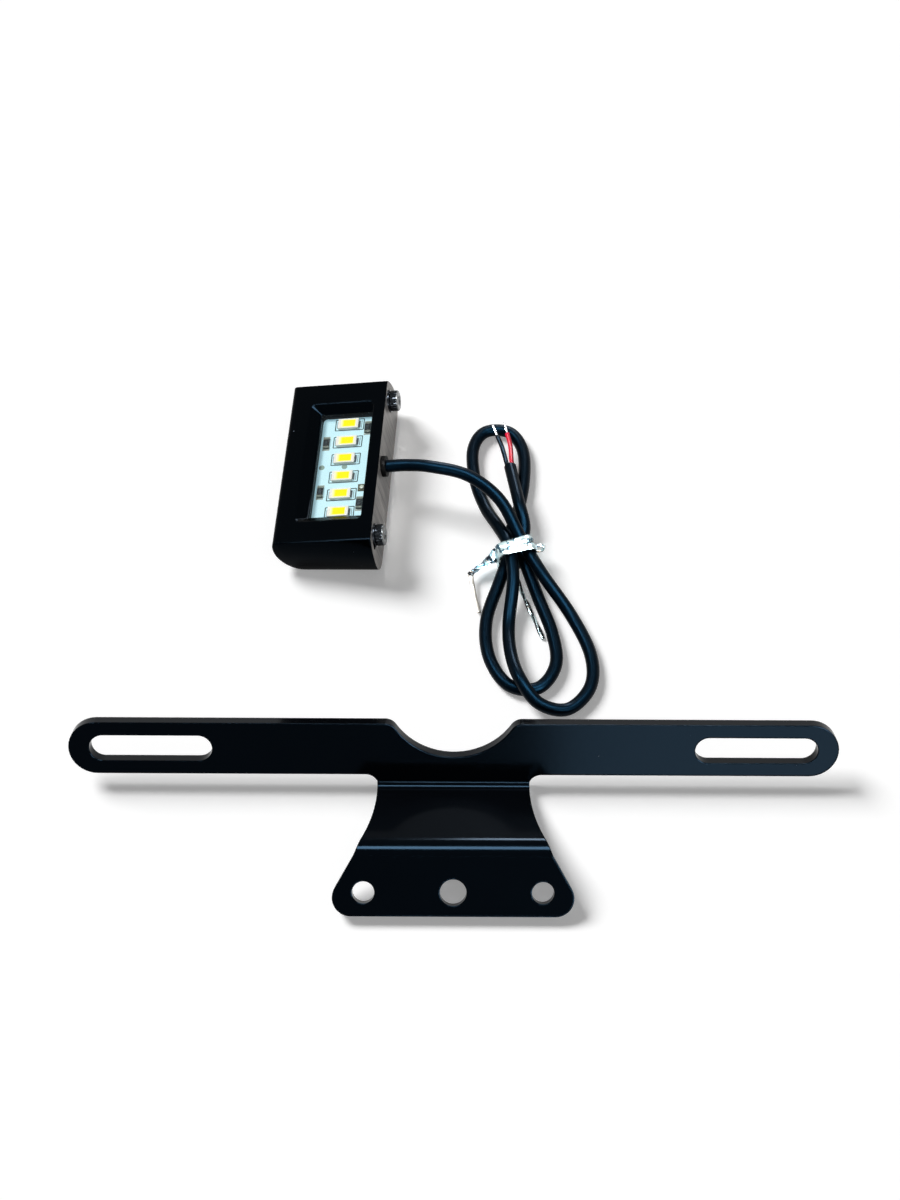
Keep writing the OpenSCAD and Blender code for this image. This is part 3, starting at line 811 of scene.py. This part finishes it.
@dataclass
class Studio:
    """The pale floor, the soft lights and the camera at the photograph's own place."""

    camera_place: Point = (-1.0 * MM, -229.05 * MM, 379.5 * MM)
    camera_target: Point = (-1.0 * MM, 12.73 * MM, 0.0)
    camera_roll: float = math.radians(-0.27)
    lens: float = 54.0
    sensor: float = 36.0
    key_from: Point = (-0.58, 0.445, 0.684)
    key_strength: float = 3.5
    key_angle: float = math.radians(24)
    floor_size: float = 4.0
    floor_albedo: float = 0.86
    floor_glow: float = 0.27
    fill: float = 0.14

    def camera(self) -> None:
        """Makes the camera and sets it as the scene's."""
        data = bpy.data.cameras.new("photo_camera")
        data.lens = self.lens
        data.sensor_width = self.sensor
        data.clip_start = 10 * MM
        camera = bpy.data.objects.new("photo_camera", data)
        bpy.context.scene.collection.objects.link(camera)
        look = Vector(self.camera_target) - Vector(self.camera_place)
        camera.location = self.camera_place
        turned = look.to_track_quat("-Z", "Y").to_matrix() @ Matrix.Rotation(-self.camera_roll, 3, "Z")
        camera.rotation_euler = turned.to_euler()
        bpy.context.scene.camera = camera

    def light(self, name: str, kind: str, place: Point) -> bpy.types.Object:
        """Makes a light that shines from a place towards the middle of the set.

        Args:
            name: Name of the light.
            kind: Its type.
            place: Where it stands.

        Returns:
            The light.
        """
        light = bpy.data.objects.new(name, bpy.data.lights.new(name, kind))
        light.location = place
        light.rotation_euler = (-Vector(place)).to_track_quat("-Z", "Y").to_euler()
        bpy.context.scene.collection.objects.link(light)
        return light

    def lights(self) -> None:
        """Makes the key light, which casts the shadows, and the lights that draw the highlights."""
        key = self.light("key_light", "SUN", self.key_from)
        key.data.energy = self.key_strength
        key.data.angle = self.key_angle
        key.visible_glossy = False
        for gloss in GLOSS_LIGHTS:
            light = self.light(gloss.name, "AREA", gloss.place)
            light.data.shape = "RECTANGLE"
            light.data.size, light.data.size_y = gloss.size
            light.data.energy = gloss.radiance * math.pi * gloss.size[0] * gloss.size[1]
            light.visible_camera = False
            light.visible_diffuse = False

    def world(self) -> None:
        """Makes the world: white behind the set and in its gloss, and a dim even fill elsewhere."""
        world = bpy.data.worlds.new("studio")
        world.use_nodes = True
        bpy.context.scene.world = world
        tree = world.node_tree
        tree.nodes.clear()
        path = tree.nodes.new("ShaderNodeLightPath")
        seen = tree.nodes.new("ShaderNodeMath")
        seen.operation = "MAXIMUM"
        through = tree.nodes.new("ShaderNodeMath")
        through.operation = "MAXIMUM"
        level = tree.nodes.new("ShaderNodeMapRange")
        level.inputs["To Min"].default_value = self.fill
        background = tree.nodes.new("ShaderNodeBackground")
        output = tree.nodes.new("ShaderNodeOutputWorld")
        tree.links.new(path.outputs["Is Camera Ray"], seen.inputs[0])
        tree.links.new(path.outputs["Is Glossy Ray"], seen.inputs[1])
        tree.links.new(seen.outputs[0], through.inputs[0])
        tree.links.new(path.outputs["Is Transmission Ray"], through.inputs[1])
        tree.links.new(through.outputs[0], level.inputs[0])
        tree.links.new(level.outputs[0], background.inputs["Strength"])
        tree.links.new(background.outputs[0], output.inputs["Surface"])

    def floor(self) -> None:
        """Makes the pale floor, which shows white apart from the shadows on it."""
        data = bmesh.new()
        bmesh.ops.create_grid(data, x_segments=8, y_segments=8, size=self.floor_size / 2)
        floor = finished_piece("floor", data, smooth=False)
        shader = Shader("floor_white")
        path = shader.node("LightPath")
        seen = shader.math("MAXIMUM", path.outputs["Is Camera Ray"], path.outputs["Is Glossy Ray"])
        seen = shader.math("MAXIMUM", seen, path.outputs["Is Transmission Ray"])
        paint = shader.node("BsdfDiffuse")
        paint.inputs["Color"].default_value = (self.floor_albedo,) * 3 + (1.0,)
        glow = shader.node("Emission")
        shader.feed(glow.inputs["Strength"], shader.math("MULTIPLY", seen, self.floor_glow))
        both = shader.node("AddShader")
        shader.feed(both.inputs[0], paint.outputs[0])
        shader.feed(both.inputs[1], glow.outputs[0])
        shader.feed(shader.output.inputs["Surface"], both.outputs[0])
        floor.data.materials.append(shader.material)

    def build(self) -> None:
        """Makes the whole studio."""
        bpy.context.scene.view_settings.view_transform = "Standard"
        self.camera()
        self.lights()
        self.world()
        self.floor()


@dataclass
class LampCable:
    """The lamp's cable, laid in the loops that it was tied in, with its two stripped wires."""

    diameter: float = 3.2 * MM
    wire: float = 1.2 * MM
    tip_length: float = 3.6 * MM
    tip_steps: int = 8
    strands: int = 5
    strand: float = 0.24 * MM
    strand_spread: float = 0.16 * MM
    strand_twist: float = 1.0
    exit_run: float = 5.0 * MM
    wire_spread: float = 1.4 * MM
    wire_run: float = 2.0 * MM
    exit: Point = (13.45 * MM, 0.0, -3.8 * MM)
    lead: tuple[Point, ...] = ((-6, 44.5, 13), (3.5, 42.6, 11.8), (11.5, 36.8, 9.4), (17, 27, 5.8))
    large_loop: tuple[Point, ...] = (
        (22, 17.4, 4.8), (29, 7, 2.1), (33.4, -4, 1.7), (33, -13, 1.7), (27.4, -19.3, 1.9),
        (20.4, -18.6, 3.4), (15.8, -12.6, 5.1), (13.8, -4.4, 3.4), (13.5, 4.4, 2.4), (14.7, 16, 5),
        (13.6, 25.6, 5.7))
    upper_loop: tuple[Point, ...] = (
        (11.2, 32, 4.4), (8, 39.6, 2.1), (5.4, 48.6, 1.7), (4.9, 58.6, 1.7), (8.2, 64.4, 1.7),
        (14.6, 64.2, 1.7), (18, 58, 1.7), (18, 48, 1.7), (16.2, 38, 1.7), (14, 30.8, 1.9), (13.6, 24.4, 2.3))
    small_loop: tuple[Point, ...] = (
        (11.4, 17, 2), (8, 5.6, 1.7), (8.6, -4.8, 1.7), (13.2, -12.6, 1.7), (20.4, -13.4, 1.7),
        (24.8, -7, 1.7), (24.2, 2, 1.7), (20.6, 13.6, 1.8), (17.2, 26, 2.3))
    tail: tuple[Point, ...] = ((17.8, 32.6, 4), (16.4, 39.4, 5.3), (14.5, 52, 3))
    red_end: tuple[Point, ...] = ((14.6, 58, 4.1), (13.8, 61.6, 4.7))
    black_end: tuple[Point, ...] = ((12.4, 57.6, 4.1), (11.2, 60.8, 4.7))

    def route(self) -> list[Vector]:
        """The cable's points, from the lamp to its stripped end."""
        start = LAMP.matrix() @ Vector(self.exit)
        ahead = LAMP.rotation().to_matrix() @ Vector((1, 0, 0))
        laid = [*self.lead, *self.large_loop, *self.upper_loop, *self.small_loop, *self.tail]
        return [start, start + self.exit_run * ahead, *in_mm(tuple(laid))]

    def jacket(self, line: list[Vector]) -> bpy.types.Object:
        """Makes the cable's jacket as one round curve.

        Args:
            line: The cable's smoothed centre line.

        Returns:
            The jacket.
        """
        data = bpy.data.curves.new("cable_jacket", "CURVE")
        data.dimensions = "3D"
        data.bevel_depth = self.diameter / 2
        data.bevel_resolution = 6
        data.use_fill_caps = True
        spline = data.splines.new("POLY")
        spline.points.add(len(line) - 1)
        for point, spot in zip(spline.points, line):
            point.co = (*spot, 1.0)
        spline.use_smooth = True
        piece = bpy.data.objects.new("cable_jacket", data)
        bpy.context.scene.collection.objects.link(piece)
        return dress(piece, JACKET, "lamp_cable")

    def stripped_wire(self, name: str, start: Vector, ahead: Vector, end: tuple[Point, ...],
                      finish: Finish) -> list[bpy.types.Object]:
        """Makes one insulated wire and its bare strands.

        Args:
            name: Name of the wire's CAD node.
            start: Where it leaves the jacket.
            ahead: Direction that it leaves in.
            end: Its last two points, in millimetres.
            finish: Finish of its insulation.

        Returns:
            The insulation and the strands.
        """
        route = [start, start + self.wire_run * ahead, *in_mm(end)]
        hull = Sweep(smooth_line(route, 6), Section.round(self.wire)).mesh(name + "_insulation")
        out = (route[-1] - route[-2]).normalized()
        side = out.cross(Vector((0, 0, 1))).normalized()
        up = side.cross(out)
        strands = bmesh.new()
        for i in range(self.strands):
            angle = 2 * math.pi * i / self.strands
            start = route[-1] + self.strand_spread * (math.cos(angle) * side + math.sin(angle) * up)
            step = out * self.tip_length / self.tip_steps
            line = [start + j * step for j in range(-1, self.tip_steps + 1)]
            swept = Sweep(line, Section.round(self.strand, 8), twist=self.strand_twist)
            strand = swept.mesh(f"{name}_strand")
            strands.from_mesh(strand.data)
            bpy.data.objects.remove(strand)
        bare = finished_piece(name + "_strands", strands)
        return [dress(hull, finish, name), dress(bare, TINNED, name + "_tip")]

    def build(self, tie: list[bpy.types.Object]) -> None:
        """Args:
            tie: The pieces of the tie that holds it; not used.
        """
        route = self.route()
        line = smooth_line(route, 8)
        jacket = self.jacket(line)
        ahead = (route[-1] - route[-2]).normalized()
        side = ahead.cross(Vector((0, 0, 1))).normalized()
        wires = []
        for name, way, end, finish in (("red_wire", 1, self.red_end, RED_PVC),
                                       ("black_wire", -1, self.black_end, BLACK_PVC)):
            start = route[-1] + way * self.wire_spread / 2 * side
            wires += self.stripped_wire(name, start, ahead, end, finish)


@dataclass(frozen=True)
class Ply:
    """One ribbon of the tie: its name and finish, and its section, its turns and its crumpling."""

    name: str
    finish: Finish
    width: float
    core: float
    up: Point = (0.0, 0.0, 1.0)
    twist: float = 0.0
    taper: tuple[float, float] = (1.0, 1.0)
    crinkle: float = 0.06 * MM
    thickness: float = 0.2 * MM

    def laid(self, route: tuple[Point, ...], steps: int) -> bpy.types.Object:
        """Makes the ribbon.

        Args:
            route: The points that it follows, in millimetres.
            steps: Points of its line for each stretch of the route.

        Returns:
            The ribbon.
        """
        section = Section.ribbon(self.width, self.thickness, self.core)
        swept = Sweep(smooth_line(in_mm(route), steps), section, Vector(self.up), self.twist, self.taper,
                      self.crinkle)
        return dress(swept.mesh(self.name), self.finish)


TAIL_PLIES = (
    Ply("tie_twist_outer", TIE_TWIST, 3.6 * MM, 0.5 * MM, (0.0, -0.54, 0.84), 0.7 * math.pi, (1.0, 0.3),
        0.32 * MM),
    Ply("tie_twist_inner", TIE_TWIST, 2.8 * MM, 0.5 * MM, (0.5, -0.2, 0.8), 1.3 * math.pi, (1.0, 0.3),
        0.32 * MM),
)
STRIP_PLY = Ply("tie_strip", TIE_PAPER, 1.25 * MM, 0.34 * MM, twist=-0.3, taper=(1.0, 0.8))
# The low tail twists the painted-shade copy of the film with the film itself.
LOW_PLIES = (
    Ply("tie_low_painted_shade", TIE_PAINTED_SHADE, 1.1 * MM, 0.42 * MM, twist=3.4 * math.pi, taper=(1.0, 1.1)),
    Ply("tie_low_bright", TIE_FILM, 0.9 * MM, 0.42 * MM, (1.0, 0.0, 0.4), 3.4 * math.pi, (1.0, 1.1)),
)


@dataclass
class TwistTie:
    """The clear twist tie round the cable: two turns, a twisted tail with its strip, and a low tail."""

    centre: Point = (15.5, 23.9, 4.2)
    turn: float = math.radians(17)
    bundle: tuple[float, float] = (8.9 * MM, 7.2 * MM)
    corner: float = 1.2 * MM
    width: float = 2.0 * MM
    film: float = 0.22 * MM
    core: float = 0.5 * MM
    crinkle: float = 0.07 * MM
    tail: tuple[Point, ...] = ((11.2, 24.6, 3.4), (8.6, 22.4, 3), (5.4, 20.2, 2.6), (4.2, 19, 2.4))
    strip: tuple[Point, ...] = ((4.1, 18.9, 2.35), (4.5, 16.6, 1.9), (5.3, 12.6, 1.1), (6.3, 8.6, 0.5))
    low_tail: tuple[Point, ...] = ((15.8, 23, 0.35), (16.4, 16.8, 0.55), (19, 9.2, 0.55), (22, 1.2, 0.5))
    curl_middle: Point = (21.4, 25.4, 4.6)
    curl: Point = (1.15 * MM, 0.4125 * MM, 0.75 * MM)
    curl_wire: float = 0.75 * MM
    knot: Point = (0.75 * MM, 0.6 * MM, 0.6 * MM)

    def loop(self, name: str, shift: float, lean: float, spare: float) -> bpy.types.Object:
        """Makes one turn of the tie round the bundle.

        Args:
            name: Name of the piece.
            shift: How far along the bundle its middle lies.
            lean: Its lean against the other turn.
            spare: How far it stands off the bundle.

        Returns:
            The turn.
        """
        place = (Matrix.Translation(Vector(self.centre) * MM) @ Matrix.Rotation(self.turn, 4, "Z")
                 @ Matrix.Rotation(lean, 4, "Z") @ Matrix.Translation((0, shift, 0)))
        radius = self.corner + self.core / 2 + spare
        half = [size / 2 + self.core / 2 + spare - radius for size in self.bundle]
        corners = ((1, 1), (-1, 1), (-1, -1), (1, -1))
        line = []
        for corner, ((x, z), (next_x, next_z)) in enumerate(zip(corners, corners[1:] + corners[:1])):
            for j in range(7):
                line.append(self.on_corner(half, radius, x, z, corner + j / 6))
            last, first = line[-1], self.on_corner(half, radius, next_x, next_z, corner + 1)
            line += [last.lerp(first, j / 8) for j in range(1, 8)]
        axis = (place.to_3x3() @ Vector((0, 1, 0))).normalized()
        section = Section.ribbon(self.width, self.film, self.core).turned()
        swept = Sweep([place @ p for p in line], section, up=axis, crinkle=self.crinkle, closed=True)
        return dress(swept.mesh(name), TIE_FILM)

    def on_corner(self, half: list[float], radius: float, x: int, z: int, quarters: float) -> Vector:
        """A point on one of a turn's four round corners.

        Args:
            half: Half sizes of the box between the corners' middles.
            radius: Radius of the corners.
            x: Side of the corner across the bundle.
            z: Side of the corner upwards.
            quarters: Direction of the point, in quarter turns.

        Returns:
            The point, in the turn's own frame.
        """
        angle = math.pi / 2 * quarters
        return Vector((x * half[0] + radius * math.cos(angle), 0, z * half[1] + radius * math.sin(angle)))

    def build(self) -> list[bpy.types.Object]:
        """Makes the whole tie.

        Returns:
            Its pieces, which are shown instead of the CAD node.
        """
        upper = self.loop("tie_turn_upper", 1.05 * MM, math.radians(2.5), 0.05 * MM)
        lower = self.loop("tie_turn_lower", -1.0 * MM, math.radians(-3), 0.1 * MM)
        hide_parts("twist_tie")
        twisted = [ply.laid(self.tail, 12) for ply in TAIL_PLIES]
        # The knot is made in the painted-shade copy of the film.
        knot = dress(self.lump("tie_knot", Vector(self.tail[-1]) * MM, self.knot), TIE_PAINTED_SHADE)
        strip = STRIP_PLY.laid(self.strip, 8)
        lows = [ply.laid(self.low_tail, 16) for ply in LOW_PLIES]
        return [upper, lower, *twisted, knot, strip, *lows, self.curled_end()]

    def curled_end(self) -> bpy.types.Object:
        """Makes the small closed curl at the tie's right."""
        middle = Vector(self.curl_middle) * MM
        wide, deep, tall = self.curl
        turns = (2 * math.pi * i / 24 for i in range(24))
        ring = [middle + Vector((wide * math.cos(a), deep * math.sin(a), tall * math.sin(a))) for a in turns]
        swept = Sweep(ring, Section.round(self.curl_wire, 10), up=Vector((0, 1, 0)), crinkle=0.14 * MM,
                      closed=True)
        return dress(swept.mesh("tie_curl"), TIE_FILM)

    def lump(self, name: str, middle: Vector, radii: Point) -> bpy.types.Object:
        """Makes a small crumpled lump.

        Args:
            name: Name of the piece.
            middle: Its middle.
            radii: Its half sizes.

        Returns:
            The lump.
        """
        data = bmesh.new()
        bmesh.ops.create_icosphere(data, subdivisions=3, radius=1.0)
        for vertex in data.verts:
            size = 1.0 + 0.35 * noise.noise(3.0 * vertex.co)
            vertex.co = middle + Vector(r * size * c for r, c in zip(radii, vertex.co))
        return finished_piece(name, data)


@dataclass
class Bracket:
    """The folded sheet-steel bracket."""

    def build(self) -> None:
        """Dresses the bracket, whose paint rounds its edges."""
        dress_node("plate_bracket", BRACKET_PAINT)


@dataclass
class PlateLamp:
    """The plate lamp: its housing, window, board, chips and the marks on the board."""

    mount_across: float = 12.25 * MM
    half_length: float = 25.0 * MM
    swell: float = 2.7 * MM
    swell_at_nose: float = 0.3
    swell_depth: float = 8.0 * MM
    swell_reach: tuple[float, float] = (8.0 * MM, 6.0 * MM)
    end_band: float = 4.0 * MM
    cut_step: float = 0.5 * MM
    cuts: int = 25
    sharp_from: float = math.radians(28)
    ink: float = 0.02 * MM
    ink_line: float = 0.26 * MM
    outline: tuple[float, float] = (7.5 * MM, 3.45 * MM)
    foot: Point = (0.5 * MM, 2.1 * MM, 0.12 * MM)
    foot_across: float = 2.85 * MM
    resistors: tuple[tuple[float, float], ...] = (
        (7.325, 12.6), (-3.275, 8.2), (-3.275, -7.4), (7.325, -11.5))
    resistor: Point = (1.6 * MM, 3.2 * MM, 0.55 * MM)
    pad_length: float = 4.5 * MM
    pad_place: tuple[float, float] = (7.575, -6.6)
    dots: tuple[tuple[float, float], ...] = ((-3.74, 0.5), (2.29, 0.4))
    dot: float = 1.5 * MM
    spot: Point = (0.55 * MM, 0.55 * MM, 0.1 * MM)
    spot_height: float = 0.4 * MM
    mark_pitch: float = 0.45 * MM
    mark_line: float = 0.14 * MM

    def swelling(self, depth: float) -> float:
        """How far the lamp's ends stand out at a depth behind its front face."""
        reach = self.swell_reach[0 if depth < self.swell_depth else 1]
        return self.swell * max(0.0, 1.0 - ((depth - self.swell_depth) / reach) ** 2)

    def housing(self) -> None:
        """Makes the housing from its solid, with swollen ends, and leaves its mounting face bare."""
        data = bmesh.new()
        data.from_mesh(NODES["lamp_housing"].data)
        bmesh.ops.transform(data, matrix=LAMP.matrix().inverted(), verts=data.verts)
        bmesh.ops.remove_doubles(data, verts=data.verts, dist=0.002 * MM)
        for step in range(1, self.cuts + 1):
            every = data.verts[:] + data.edges[:] + data.faces[:]
            bmesh.ops.bisect_plane(data, geom=every, dist=1e-7, plane_co=(0, 0, -step * self.cut_step),
                                   plane_no=(0, 0, 1))
        for vertex in data.verts:
            if abs(vertex.co.y) > self.half_length - self.end_band:
                share = (vertex.co.x + self.mount_across) / (2 * self.mount_across)
                share = self.swell_at_nose + (1 - self.swell_at_nose) * min(max(share, 0.0), 1.0)
                vertex.co.y += math.copysign(share * self.swelling(-vertex.co.z), vertex.co.y)
        data.normal_update()
        for face in data.faces:
            at_mount = abs(face.calc_center_median().x - self.mount_across) < 0.02 * MM
            face.material_index = 1 if at_mount and face.normal.x > 0.99 else 0
            face.smooth = True
        for edge in data.edges:
            edge.smooth = len(edge.link_faces) == 2 and edge.calc_face_angle() < self.sharp_from
        bmesh.ops.transform(data, matrix=LAMP.matrix(), verts=data.verts)
        mesh = bpy.data.meshes.new("housing_shell")
        data.to_mesh(mesh)
        data.free()
        shell = bpy.data.objects.new("housing_shell", mesh)
        bpy.context.scene.collection.objects.link(shell)
        marks = [face.material_index for face in mesh.polygons]
        dress(shell, LAMP_PAINT, "lamp_housing")
        mesh.materials.append(BARE_ALUMINIUM.material())
        mesh.polygons.foreach_set("material_index", marks)

    def plate(self, data: bmesh.types.BMesh, middle: Point, size: Point) -> None:
        """Adds a small flat block, in the lamp's own frame.

        Args:
            data: The mesh to add it to.
            middle: Middle of its underside.
            size: Its sizes across, along and up.
        """
        made = bmesh.ops.create_cube(data, size=1.0)["verts"]
        bmesh.ops.scale(data, verts=made, vec=size)
        bmesh.ops.translate(data, verts=made, vec=(middle[0], middle[1], middle[2] + size[2] / 2))

    def placed(self, name: str, data: bmesh.types.BMesh, finish: Finish, edge: float = 0.0,
               stands_for: tuple[str, ...] = ()) -> bpy.types.Object:
        """Places a mesh made in the lamp's own frame and dresses it.

        Args:
            name: Name of the piece.
            data: Its mesh.
            finish: Its finish.
            edge: Radius of its edges.
            stands_for: The CAD nodes that it is shown instead of.

        Returns:
            The piece.
        """
        if edge:
            bmesh.ops.bevel(data, geom=data.edges[:], offset=edge, segments=2, affect="EDGES", profile=0.5)
        bmesh.ops.transform(data, matrix=LAMP.matrix(), verts=data.verts)
        return dress(finished_piece(name, data, smooth=False), finish, *stands_for)

    def silk(self) -> None:
        """Prints a thin outline round each chip, with a bar inside each of its short sides."""
        data = bmesh.new()
        wide, tall = self.outline
        top = CHIPS.board_top
        for i in range(CHIPS.count):
            a, b = CHIPS.middle + 0.25 * MM, CHIPS.along(i)
            for end in (-1, 1):
                self.plate(data, (a, b + end * tall / 2, top), (wide, self.ink_line, self.ink))
                self.plate(data, (a + end * wide / 2, b, top), (self.ink_line, tall, self.ink))
            bar = self.ink_line / 2
            self.plate(data, (a + wide / 2 - 0.55 * MM, b, top), (bar, 0.7 * tall, self.ink))
            self.plate(data, (a - wide / 2 + 0.62 * MM, b, top), (bar, 0.6 * tall, self.ink))
        self.placed("board_silk", data, SILK_INK)

    def dots_on_board(self) -> None:
        """Makes the two round test points on the board."""
        for i, (a, b) in enumerate(self.dots, start=1):
            data = bmesh.new()
            radius = self.dot / 2
            bmesh.ops.create_cone(data, cap_ends=True, segments=32, radius1=radius, radius2=radius,
                                  depth=self.ink)
            middle = (a * MM, b * MM, CHIPS.board_top + self.ink / 2)
            bmesh.ops.translate(data, verts=data.verts, vec=middle)
            self.placed(f"test_point_{i}", data, TEST_DOT)

    def resistor_details(self) -> None:
        """Makes the resistors with their bright ends, pads and plain marks."""
        across, along, up = self.resistor
        for i, (a, b) in enumerate(self.resistors, start=1):
            a, b = a * MM, b * MM
            body = bmesh.new()
            self.plate(body, (a, b, CHIPS.board_top + 0.03 * MM), (across, 0.66 * along, up - 0.03 * MM))
            self.placed(f"resistor_body_{i}", body, CHIP_RESISTOR, 0.06 * MM, (f"resistor_{i}",))
            ends = bmesh.new()
            for side in (-1, 1):
                self.plate(ends, (a, b + side * 0.415 * along, CHIPS.board_top), (across, 0.17 * along, up))
            self.placed(f"resistor_ends_{i}", ends, RESISTOR_END, 0.06 * MM)
            pads = bmesh.new()
            for side in (-1, 1):
                self.plate(pads, (a, b + side * (self.pad_length / 2 - 0.5 * MM), CHIPS.board_top),
                           (1.15 * across, 1.0 * MM, self.ink))
            self.placed(f"resistor_pads_{i}", pads, RESISTOR_PAD)
            mark = bmesh.new()
            for side in (-1, 0, 1):
                self.plate(mark, (a, b + side * self.mark_pitch, CHIPS.board_top + up),
                           (0.45 * across, self.mark_line, self.ink))
            self.placed(f"resistor_mark_{i}", mark, RESISTOR_MARK)

    def solder_spot(self) -> None:
        """Makes the pale spot of solder on the square pad."""
        data = bmesh.new()
        bmesh.ops.create_uvsphere(data, u_segments=24, v_segments=12, radius=1.0)
        a, b = (value * MM for value in self.pad_place)
        bmesh.ops.scale(data, verts=data.verts, vec=self.spot)
        bmesh.ops.translate(data, verts=data.verts, vec=(a, b, CHIPS.board_top + self.spot_height))
        spot = self.placed("solder_spot", data, SOLDER_SPOT)
        spot.data.shade_smooth()

    def chips(self) -> None:
        """Dresses the chips and makes their two metal feet."""
        feet = bmesh.new()
        for i in range(CHIPS.count):
            dress_node(f"led_{i + 1}", CHIP_WHITE, 0.08 * MM)
            dress_node(f"phosphor_{i + 1}", CHIP_GLOW)
            for side in (-1, 1):
                across = CHIPS.middle + side * self.foot_across
                self.plate(feet, (across, CHIPS.along(i), CHIPS.board_top), self.foot)
        self.placed("chip_feet", feet, CHIP_FOOT)

    def build(self) -> None:
        """Makes the whole lamp."""
        self.housing()
        dress_node("lamp_lens", LENS)
        dress_node("circuit_board", BOARD_WHITE)
        self.chips()
        self.silk()
        self.dots_on_board()
        self.resistor_details()
        dress_node("solder_pad", OLIVE_PAD)
        self.solder_spot()


@dataclass
class Fixings:
    """The lamp's two knurled socket screws with their washers, and the cable's grommet."""

    across: float = 12.25 * MM
    along: float = 21.3 * MM
    depth: float = -3.8 * MM
    washer: tuple[float, float] = (3.0 * MM, 0.45 * MM)
    head: tuple[float, float] = (2.7 * MM, 2.1 * MM)
    rim: float = 0.35 * MM
    socket: tuple[float, float] = (1.25 * MM, 1.3 * MM)
    teeth: int = 24
    tooth: float = 0.13 * MM

    def ring(self, data: bmesh.types.BMesh, radius: float, out: float, shape: int = 0,
             knurl: float = 0.0) -> list[bmesh.types.BMVert]:
        """Adds one ring of a screw's outline.

        Args:
            data: The mesh to add it to.
            radius: Radius of the ring.
            out: Its distance from the mounting face.
            shape: Number of its flat sides, or 0 for a circle.
            knurl: Depth of the knurling.

        Returns:
            The ring's points.
        """
        made = []
        count = self.teeth * 4
        for i in range(count):
            angle = 2 * math.pi * i / count
            reach = radius - (knurl if i % 4 in (0, 1) else 0.0)
            if shape:
                part = 2 * math.pi / shape
                reach = radius * math.cos(part / 2) / math.cos(angle % part - part / 2)
            made.append(data.verts.new((out, reach * math.cos(angle), reach * math.sin(angle))))
        return made

    def turned(self, name: str, rings: list[list[bmesh.types.BMVert]], data: bmesh.types.BMesh, along: float,
               finish: Finish, stands_for: tuple[str, ...] = ()) -> bpy.types.Object:
        """Joins rings into a turned piece, closes it and places it on the mounting face.

        Args:
            name: Name of the piece.
            rings: Its rings in order.
            data: Its mesh.
            along: Its place along the lamp.
            finish: Its finish.
            stands_for: The CAD nodes that it is shown instead of.

        Returns:
            The piece.
        """
        for low, high in zip(rings, rings[1:]):
            for i in range(len(low)):
                j = (i + 1) % len(low)
                data.faces.new((low[i], low[j], high[j], high[i]))
        data.faces.new(rings[0])
        data.faces.new(rings[-1])
        bmesh.ops.translate(data, verts=data.verts, vec=(self.across, along, self.depth))
        bmesh.ops.transform(data, matrix=LAMP.matrix(), verts=data.verts)
        piece = finished_piece(name, data)
        piece.data.set_sharp_from_angle(angle=math.radians(35))
        return dress(piece, finish, *stands_for)

    def screw(self, lamp_end: LampEnd) -> None:
        """Makes one screw head, its rim and socket in paler steel as a painted highlight, and its washer.

        Args:
            lamp_end: The end of the lamp that it is at.
        """
        end = lamp_end.name.lower()
        along = lamp_end.value * self.along
        wide, thick = self.washer
        data = bmesh.new()
        rings = [self.ring(data, r, out) for r, out in ((wide, 0.02 * MM), (wide, thick - 0.1 * MM),
                                                        (wide - 0.1 * MM, thick), (1.0 * MM, thick))]
        self.turned(f"screw_washer_{end}", rings, data, along, DARK_STEEL, (f"washer_{end}",))
        radius, tall = self.head
        top = thick + tall
        data = bmesh.new()
        rings = [self.ring(data, radius - 0.2 * MM, thick - 0.02 * MM),
                 self.ring(data, radius, thick + 0.2 * MM, knurl=self.tooth),
                 self.ring(data, radius, top - self.rim, knurl=self.tooth),
                 self.ring(data, radius - 0.06 * MM, top - 0.7 * self.rim)]
        self.turned(f"screw_head_{end}", rings, data, along, DARK_STEEL, (f"mounting_screw_{end}",))
        data = bmesh.new()
        hole, deep = self.socket
        rings = [self.ring(data, radius - 0.1 * MM, top - 0.75 * self.rim),
                 self.ring(data, radius - 0.12 * MM, top - 0.3 * self.rim),
                 self.ring(data, radius - 0.35 * MM, top),
                 self.ring(data, hole + 0.2 * MM, top),
                 self.ring(data, hole, top - 0.15 * MM, 6),
                 self.ring(data, hole, top - deep, 6)]
        # The rim and socket take the paler steel as a painted highlight.
        self.turned(f"screw_rim_{end}", rings, data, along, PAINTED_RIM_HIGHLIGHT)

    def build(self) -> None:
        """Makes the screws and dresses the grommet."""
        for lamp_end in LampEnd:
            self.screw(lamp_end)
        dress_node("cable_grommet", BLACK_RUBBER, 0.25 * MM)


def main() -> None:
    """Builds the studio, the cable and its tie, the bracket and the lamp, and reports each piece."""
    logging.basicConfig(level=logging.INFO, format="%(name)s: %(message)s")
    noise.seed_set(CRINKLE_SEED)
    Studio().build()
    LampCable().build(TwistTie().build())
    Bracket().build()
    PlateLamp().build()
    Fixings().build()
    bpy.context.view_layer.update()


if __name__ == "__main__":
    main()
